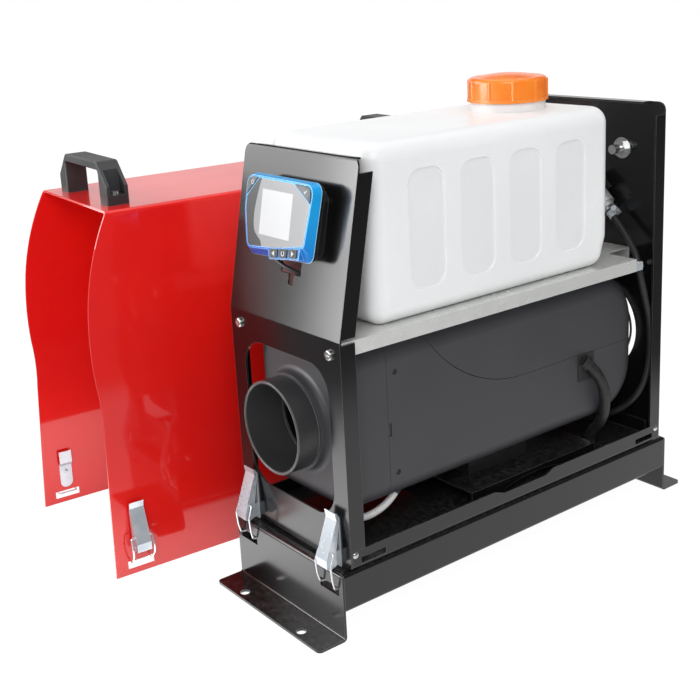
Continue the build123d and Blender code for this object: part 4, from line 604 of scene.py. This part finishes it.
class HEATER_OT_fuel_tank(bpy.types.Operator):
    """Milky tank, glossy screw cap with its gasket, and brass outlet"""
    bl_idname = "heater.fuel_tank"
    bl_label = "Fuel Tank"

    def execute(self, context):
        cap = tuple(context.scene.heater_colours.cap)
        coat(tank_polythene(), "fuel_tank")
        # edge is a painted highlight along the cap's edges
        orange = surface("cap_plastic", cap, (0.90, 0.24, 0.012), rough=(0.22, 0.34),
                         cloud=30.0, bump=0.05, edge=(1.0, 0.42, 0.12), edge_gain=3.0,
                         edge_width=0.0016, Coat_Weight=0.3, Coat_Roughness=0.15,
                         Subsurface_Weight=0.12, Subsurface_Scale=0.004)
        coat(orange, "tank_cap")
        gasket = surface("gasket_rubber", (0.02, 0.02, 0.02), (0.03, 0.03, 0.03),
                         rough=(0.6, 0.8), grain=1600.0, bump=0.3)
        coat(gasket, "cap_gasket")
        brass = plated("brass_fitting", (0.66, 0.46, 0.20), (0.56, 0.38, 0.16), (0.22, 0.40),
                       Metallic=1.0)
        coat(brass, "tank_outlet")
        return {"FINISHED"}


class HEATER_OT_heater_casing(bpy.types.Operator):
    """Moulded casing, outlet duct, intake guard, and the rubber grommet and pump holder"""
    bl_idname = "heater.heater_casing"
    bl_label = "Heater Casing"

    def execute(self, context):
        base = tuple(context.scene.heater_colours.casing)
        # edge is a painted highlight along the casing's edges
        moulded = surface("moulded_casing", base, toned(base, 1.18), rough=(0.46, 0.58),
                          grain=2600.0, cloud=10.0, bump=0.35, depth=0.0001,
                          edge=(0.075, 0.075, 0.08), edge_gain=1.5, edge_width=0.0012)
        coat(moulded, "heater_lid", "heater_casing", "heater_front_cap")
        # edge is a painted highlight, bright on the duct's rim
        duct = surface("duct_plastic", (0.028, 0.028, 0.030), (0.034, 0.034, 0.036),
                       rough=(0.34, 0.44), grain=1800.0, cloud=22.0, bump=0.12,
                       edge=(0.55, 0.55, 0.56), edge_gain=3.2)
        coat(duct, "outlet_duct")
        # edge is a painted highlight along the guard's edges
        guard = surface("guard_plastic", (0.80, 0.81, 0.82), (0.74, 0.75, 0.76), rough=(0.4, 0.5),
                        grain=1500.0, bump=0.08, edge=(0.90, 0.90, 0.90))
        coat(guard, "intake_guard")
        # edge is a painted highlight along the rubber's edges
        rubber = surface("grommet_rubber", (0.014, 0.014, 0.015), (0.020, 0.020, 0.021),
                         rough=(0.55, 0.70), grain=1800.0, bump=0.3, edge=(0.08, 0.08, 0.08))
        coat(rubber, "cable_grommet", "pump_holder")
        return {"FINISHED"}


class HEATER_OT_heater_inside(bpy.types.Operator):
    """Exchanger casting, burner, motor, fuel pump, fans, board and stubs"""
    bl_idname = "heater.heater_inside"
    bl_label = "Inside the Heater"

    def execute(self, context):
        # edge is a painted highlight along the casting's edges
        cast = surface("cast_aluminium", (0.66, 0.67, 0.67), (0.54, 0.55, 0.56),
                       rough=(0.42, 0.58), grain=1300.0, cloud=40.0, bump=0.5,
                       edge=(0.80, 0.80, 0.81), edge_gain=3.0,
                       below=(FOOT_TOP * MM, (0.03, 0.03, 0.032)), Metallic=0.5)
        coat(cast, "heat_exchanger", "combustion_fan")
        heated = surface("heated_steel", (0.40, 0.33, 0.26), (0.22, 0.19, 0.22),
                         rough=(0.30, 0.50), cloud=60.0, bump=0.2, Metallic=1.0)
        coat(heated, "burner", "exhaust_stub")
        steel = plated("drawn_steel", (0.72, 0.73, 0.74), (0.60, 0.61, 0.62), (0.24, 0.36),
                       Metallic=0.6)
        coat(steel, "glow_plug", "motor", "fuel_pump")
        # edge is a painted highlight along the fan's edges
        fan = surface("fan_plastic", (0.020, 0.020, 0.021), (0.030, 0.030, 0.031),
                      rough=(0.35, 0.5), grain=1500.0, bump=0.12, edge=(0.10, 0.10, 0.10))
        coat(fan, "fan_rotor", "intake_stub")
        coat(circuit_green(), "control_board")
        return {"FINISHED"}


class HEATER_OT_controller(bpy.types.Operator):
    """Case, blue bezel, printed lens and the five keys"""
    bl_idname = "heater.controller"
    bl_label = "Controller"

    def execute(self, context):
        # edge is a painted highlight along the case's edges
        case = surface("controller_case", (0.010, 0.010, 0.011), (0.015, 0.015, 0.016),
                       rough=(0.32, 0.42), grain=2200.0, bump=0.15, edge=(0.09, 0.09, 0.10))
        coat(case, "controller_case")
        coat(blue_bezel(), "controller_bezel")
        coat(printed_lens(), "controller_lens")
        panel = surface("display_glass", (0.70, 0.71, 0.71), (0.78, 0.79, 0.79), rough=(0.1, 0.2),
                        grain=600.0, bump=0.02)
        coat(panel, "controller_display")
        # edge is a painted highlight along the keys' edges
        corner = surface("corner_key", (0.060, 0.064, 0.070), (0.16, 0.17, 0.18),
                         rough=(0.34, 0.48), grain=1800.0, cloud=120.0, bump=0.06,
                         edge=(0.30, 0.34, 0.38), edge_width=0.0004, Specular_IOR_Level=0.25)
        coat(corner, "button_power", "button_ok")
        lower = surface("lower_key", (0.020, 0.021, 0.023), (0.050, 0.052, 0.056),
                        rough=(0.34, 0.48), grain=1800.0, cloud=160.0, bump=0.06,
                        edge=(0.25, 0.30, 0.36), edge_width=0.0004, Specular_IOR_Level=0.25)
        coat(lower, "button_left", "button_set", "button_right")
        return {"FINISHED"}


class HEATER_OT_key_signs(bpy.types.Operator):
    """Raised signs on the keys: power, tick, two arrows and an open ring"""
    bl_idname = "heater.key_signs"
    bl_label = "Key Signs"

    def execute(self, context):
        height = context.scene.heater_finish.sign
        ink = surface("sign_ink", (0.66, 0.68, 0.70), (0.74, 0.75, 0.76), rough=(0.5, 0.6),
                      grain=2500.0, bump=0.1, Specular_IOR_Level=0.2)
        opposite = [(-x, -y) for x, y in ARROW]
        self.place(flat_sign(ARROW, height), "left", self.in_row(-1), KEY_TILT, ink)
        self.place(flat_sign(opposite, height), "right", self.in_row(1), KEY_TILT, ink)
        self.place(flat_sign(arc_outline(*SET_RING), height), "set", self.in_row(0), KEY_TILT, ink)
        power = joined([flat_sign(arc_outline(*POWER_RING), height), flat_sign(POWER_BAR, height)])
        self.place(power, "power", POWER_KEY, 0.0, ink)
        self.place(flat_sign(TICK, height), "ok", OK_KEY, 0.0, ink)
        return {"FINISHED"}

    def in_row(self, column):
        """Middle of a key in the lower row, counted from the one in its middle."""
        return (KEY_ROW[0] + math.cos(KEY_TILT) * column * KEY_PITCH,
                KEY_ROW[1] + math.sin(KEY_TILT) * column * KEY_PITCH)

    def place(self, sign, key, centre, turn, ink):
        """Puts a sign on a key's face, where it moves with the key."""
        sign.matrix_world = on_slope(*centre, KEY_TOP, turn)
        settle(sign, f"sign_{key}", ink, f"button_{key}")


class HEATER_OT_latches(bpy.types.Operator):
    """Zinc plate on the draw latches, clips, clamps, screws and supply terminal"""
    bl_idname = "heater.latches"
    bl_label = "Latches and Screws"

    def execute(self, context):
        plate = plated("zinc_plate", (0.60, 0.64, 0.69), (0.46, 0.51, 0.56), (0.20, 0.30),
                       Metallic=0.35)
        wire = plated("zinc_wire", (0.74, 0.76, 0.79), (0.62, 0.64, 0.67), (0.18, 0.28),
                      Metallic=0.6)
        for kind in ("latch", "cover"):
            for word in ("left", "right"):
                coat(plate, f"{kind}_lever_{word}")
                coat(wire, f"{kind}_bail_{word}")
        coat(plate, "latch_plates", "cover_latch_plates", "cover_clips", "hose_clamps")
        screw = plated("screw_zinc", (0.70, 0.71, 0.70), (0.46, 0.47, 0.46), (0.14, 0.26),
                       Metallic=0.9)
        coat(screw, "panel_screws", "cover_screws", "power_terminal")
        return {"FINISHED"}


class HEATER_OT_cover(bpy.types.Operator):
    """Gloss paint on the cover and moulded handles"""
    bl_idname = "heater.cover"
    bl_label = "Cover"

    def execute(self, context):
        scene = context.scene
        red = tuple(scene.heater_colours.cover)
        # edge is a painted highlight along the cover's edges
        paint = surface("gloss_red", red, (0.70, 0.008, 0.007), rough=(0.30, 0.40), grain=330.0,
                        cloud=5.0, bump=scene.heater_finish.peel,
                        edge=(0.90, 0.10, 0.09), edge_gain=2.0, Specular_IOR_Level=0.15,
                        Coat_Weight=0.8, Coat_Roughness=0.05)
        coat(paint, "cover_shell")
        handle = tuple(scene.heater_colours.handle)
        # edge is a painted highlight along the handles' edges
        moulded = surface("handle_plastic", handle, toned(handle, 1.4), rough=(0.38, 0.50),
                          grain=2000.0, cloud=18.0, bump=0.3, edge=(0.13, 0.13, 0.14),
                          edge_gain=3.0)
        coat(moulded, "cover_handles")
        return {"FINISHED"}


class HEATER_OT_hoses(bpy.types.Operator):
    """Hoses, fuel line and cables on smooth lines"""
    bl_idname = "heater.hoses"
    bl_label = "Hoses and Cables"

    def execute(self, context):
        black = surface("hose_rubber", (0.012, 0.012, 0.013), (0.020, 0.020, 0.021),
                        rough=(0.42, 0.58), grain=1400.0, cloud=60.0, bump=0.25)
        sleeve = surface("loom_sleeve", (0.010, 0.010, 0.011), (0.022, 0.022, 0.023),
                         rough=(0.45, 0.62), grain=420.0, cloud=150.0, bump=0.5, depth=0.0006)
        white = surface("line_nylon", (0.84, 0.85, 0.84), (0.74, 0.75, 0.74),
                        rough=(0.28, 0.38), cloud=40.0, bump=0.06, Subsurface_Weight=0.3,
                        Subsurface_Scale=0.003)
        hose_curve("hose_suction", SUCTION_ROUTE, HOSE_RADIUS, black, "suction_hose")
        hose_curve("hose_fuel", FUEL_ROUTE, HOSE_RADIUS, black, "fuel_hose")
        hose_curve("line_fuel", LINE_ROUTE, HOSE_RADIUS, white, "fuel_line")
        hose_curve("loom_heater", LOOM_ROUTE, LOOM_RADIUS, sleeve, "heater_cable")
        hose_curve("lead_controller", LEAD_ROUTE, LEAD_RADIUS, black, "controller_cable")
        return {"FINISHED"}


class HEATER_OT_studio(bpy.types.Operator):
    """Pale floor, surround, three softboxes, two gloss panels and the camera"""
    bl_idname = "heater.studio"
    bl_label = "Studio"

    def execute(self, context):
        light = context.scene.studio_light
        self.floor()
        self.surround(light.fill)
        for name, setting, place, size, aim, gloss_only in LAMPS:
            self.softbox(name, place, size, getattr(light, setting), aim, gloss_only)
        self.camera(context)
        context.scene.view_settings.view_transform = "Standard"
        return {"FINISHED"}

    def floor(self):
        """A pale floor with a light of its own, which darkens away from the object in gloss."""
        bpy.ops.object.select_all(action="DESELECT")
        bpy.ops.mesh.primitive_plane_add(size=FLOOR_SIZE, location=(0, 0, 0))
        ground = bpy.context.object
        ground.name = "studio_floor"
        material, tree, shader = new_material("studio_floor", Roughness=0.9, Specular_IOR_Level=0.1)
        dapple = add(tree, "ShaderNodeTexNoise", {"Vector": on_object(tree), "Scale": 3.0})
        pale = mixed(tree, dapple.outputs["Fac"], shade((0.80, 0.80, 0.80)),
                     shade((0.82, 0.82, 0.82)))
        feed(tree, pale, shader.inputs["Base Color"])
        path = add(tree, "ShaderNodeLightPath").outputs
        near = spread(tree, self.distance(tree), *MIRROR_FADE, 1.0, 0.0, smooth=True)
        ahead = self.distance(tree, SPILL_PLACE)
        spill = spread(tree, ahead, *SPILL_FADE, SPILL_GLOW, 0.0, smooth=True)
        mirrored = reckon(tree, "ADD", spill, reckon(tree, "SUBTRACT", near, 1.0))
        change = reckon(tree, "MULTIPLY", path["Is Glossy Ray"], mirrored)
        strength = reckon(tree, "ADD", change, FLOOR_GLOW)
        glow = add(tree, "ShaderNodeEmission", {"Color": WHITE, "Strength": strength})
        seen = reckon(tree, "MAXIMUM", path["Is Camera Ray"], path["Is Glossy Ray"])
        seen = reckon(tree, "MAXIMUM", seen, path["Is Transmission Ray"])
        share = reckon(tree, "MULTIPLY", seen, self.open_floor(tree))
        both = add(tree, "ShaderNodeMixShader",
                   {0: share, 1: shader.outputs[0], 2: glow.outputs[0]})
        feed(tree, both.outputs[0], tree.nodes["Material Output"].inputs["Surface"])
        ground.data.materials.append(material)

    def distance(self, tree, origin=(0, 0, 0)):
        """Distance from a place on the floor, in metres."""
        place = on_object(tree, origin=origin)
        return add(tree, "ShaderNodeVectorMath", {0: place}, operation="LENGTH").outputs["Value"]

    def open_floor(self, tree):
        """Share of the floor's own light: none under the stand, where it lies in shadow."""
        axes = add(tree, "ShaderNodeSeparateXYZ", {0: on_object(tree)}).outputs
        across = reckon(tree, "SUBTRACT", reckon(tree, "ABSOLUTE", axes["X"]), SHADE_HALF_WIDTH)
        along = reckon(tree, "SUBTRACT", reckon(tree, "ABSOLUTE", axes["Y"]), SHADE_HALF_LENGTH)
        outside = reckon(tree, "MAXIMUM", across, along)
        return spread(tree, outside, 0.0, SHADE_BLUR, 0.0, OPEN_FLOOR)

    def surround(self, fill):
        """White to the camera, dim in gloss, and the fill's strength on matt surfaces."""
        world = bpy.data.worlds.new("studio_surround")
        world.use_nodes = True
        tree = world.node_tree
        path = add(tree, "ShaderNodeLightPath").outputs
        seen = reckon(tree, "MAXIMUM", path["Is Camera Ray"], path["Is Transmission Ray"])
        mirrored = reckon(tree, "MULTIPLY", path["Is Glossy Ray"], SURROUND_MIRROR)
        level = reckon(tree, "MAXIMUM", seen, mirrored)
        diffuse = reckon(tree, "MULTIPLY", path["Is Diffuse Ray"], fill)
        background = tree.nodes["Background"].inputs
        feed(tree, WHITE, background["Color"])
        feed(tree, reckon(tree, "MAXIMUM", level, diffuse), background["Strength"])
        bpy.context.scene.world = world

    def softbox(self, name, place, size, power, aim, gloss_only):
        """A soft lamp, turned from its place to its aim; one for gloss only lights nothing matt."""
        bpy.ops.object.light_add(type="AREA", location=place)
        lamp = bpy.context.object
        lamp.name = name
        lamp.data.shape = "RECTANGLE"
        lamp.data.size, lamp.data.size_y = size
        lamp.data.energy = power
        lamp.rotation_mode = "QUATERNION"
        lamp.rotation_quaternion = (Vector(aim) - Vector(place)).to_track_quat("-Z", "Y")
        lamp.visible_camera = False
        lamp.visible_diffuse = not gloss_only

    def camera(self, context):
        """The photograph's view."""
        data = bpy.data.cameras.new("studio_camera")
        data.sensor_width = CAMERA_SENSOR
        data.lens = CAMERA_LENS
        data.shift_y = CAMERA_SHIFT
        data.clip_start, data.clip_end = 0.01, 50.0
        seen = bpy.data.objects.new("studio_camera", data)
        context.scene.collection.objects.link(seen)
        turn, rise, roll = map(math.radians, (CAMERA_TURN, CAMERA_RISE, CAMERA_ROLL))
        back = Vector((math.sin(turn) * math.cos(rise), -math.cos(turn) * math.cos(rise),
                       math.sin(rise)))
        right = Vector((math.cos(turn), math.sin(turn), 0))
        up = back.cross(right)
        across = math.cos(roll) * right + math.sin(roll) * up
        upward = math.cos(roll) * up - math.sin(roll) * right
        place = Matrix((across, upward, back)).transposed().to_4x4()
        place.translation = Vector(CAMERA_PLACE)
        seen.matrix_world = place
        context.scene.camera = seen


STEPS = (HEATER_OT_studio, HEATER_OT_hoses, HEATER_OT_sheet_metal, HEATER_OT_fuel_tank,
         HEATER_OT_heater_casing, HEATER_OT_heater_inside, HEATER_OT_controller,
         HEATER_OT_key_signs, HEATER_OT_latches, HEATER_OT_cover)


class HEATER_PT_steps(bpy.types.Panel):
    """Lists the settings and the steps that build the heater's looks"""
    bl_idname = "HEATER_PT_steps"
    bl_label = "Diesel Air Heater"
    bl_space_type = "VIEW_3D"
    bl_region_type = "UI"
    bl_category = "Heater"

    def draw(self, context):
        scene = context.scene
        for group in (scene.heater_colours, scene.heater_finish, scene.studio_light):
            box = self.layout.box()
            for name in group.__annotations__:
                box.prop(group, name)
        for step in STEPS:
            self.layout.operator(step.bl_idname)


CLASSES = (HeaterColours, HeaterFinish, StudioLight, *STEPS, HEATER_PT_steps)


def register():
    for kind in CLASSES:
        bpy.utils.register_class(kind)
    bpy.types.Scene.heater_colours = PointerProperty(type=HeaterColours)
    bpy.types.Scene.heater_finish = PointerProperty(type=HeaterFinish)
    bpy.types.Scene.studio_light = PointerProperty(type=StudioLight)


def unregister():
    del bpy.types.Scene.studio_light
    del bpy.types.Scene.heater_finish
    del bpy.types.Scene.heater_colours
    for kind in reversed(CLASSES):
        bpy.utils.unregister_class(kind)


def main():
    """Builds the looks step by step."""
    register()
    for step in STEPS:
        group, name = step.bl_idname.split(".")
        getattr(getattr(bpy.ops, group), name)()


if __name__ == "__main__":
    main()
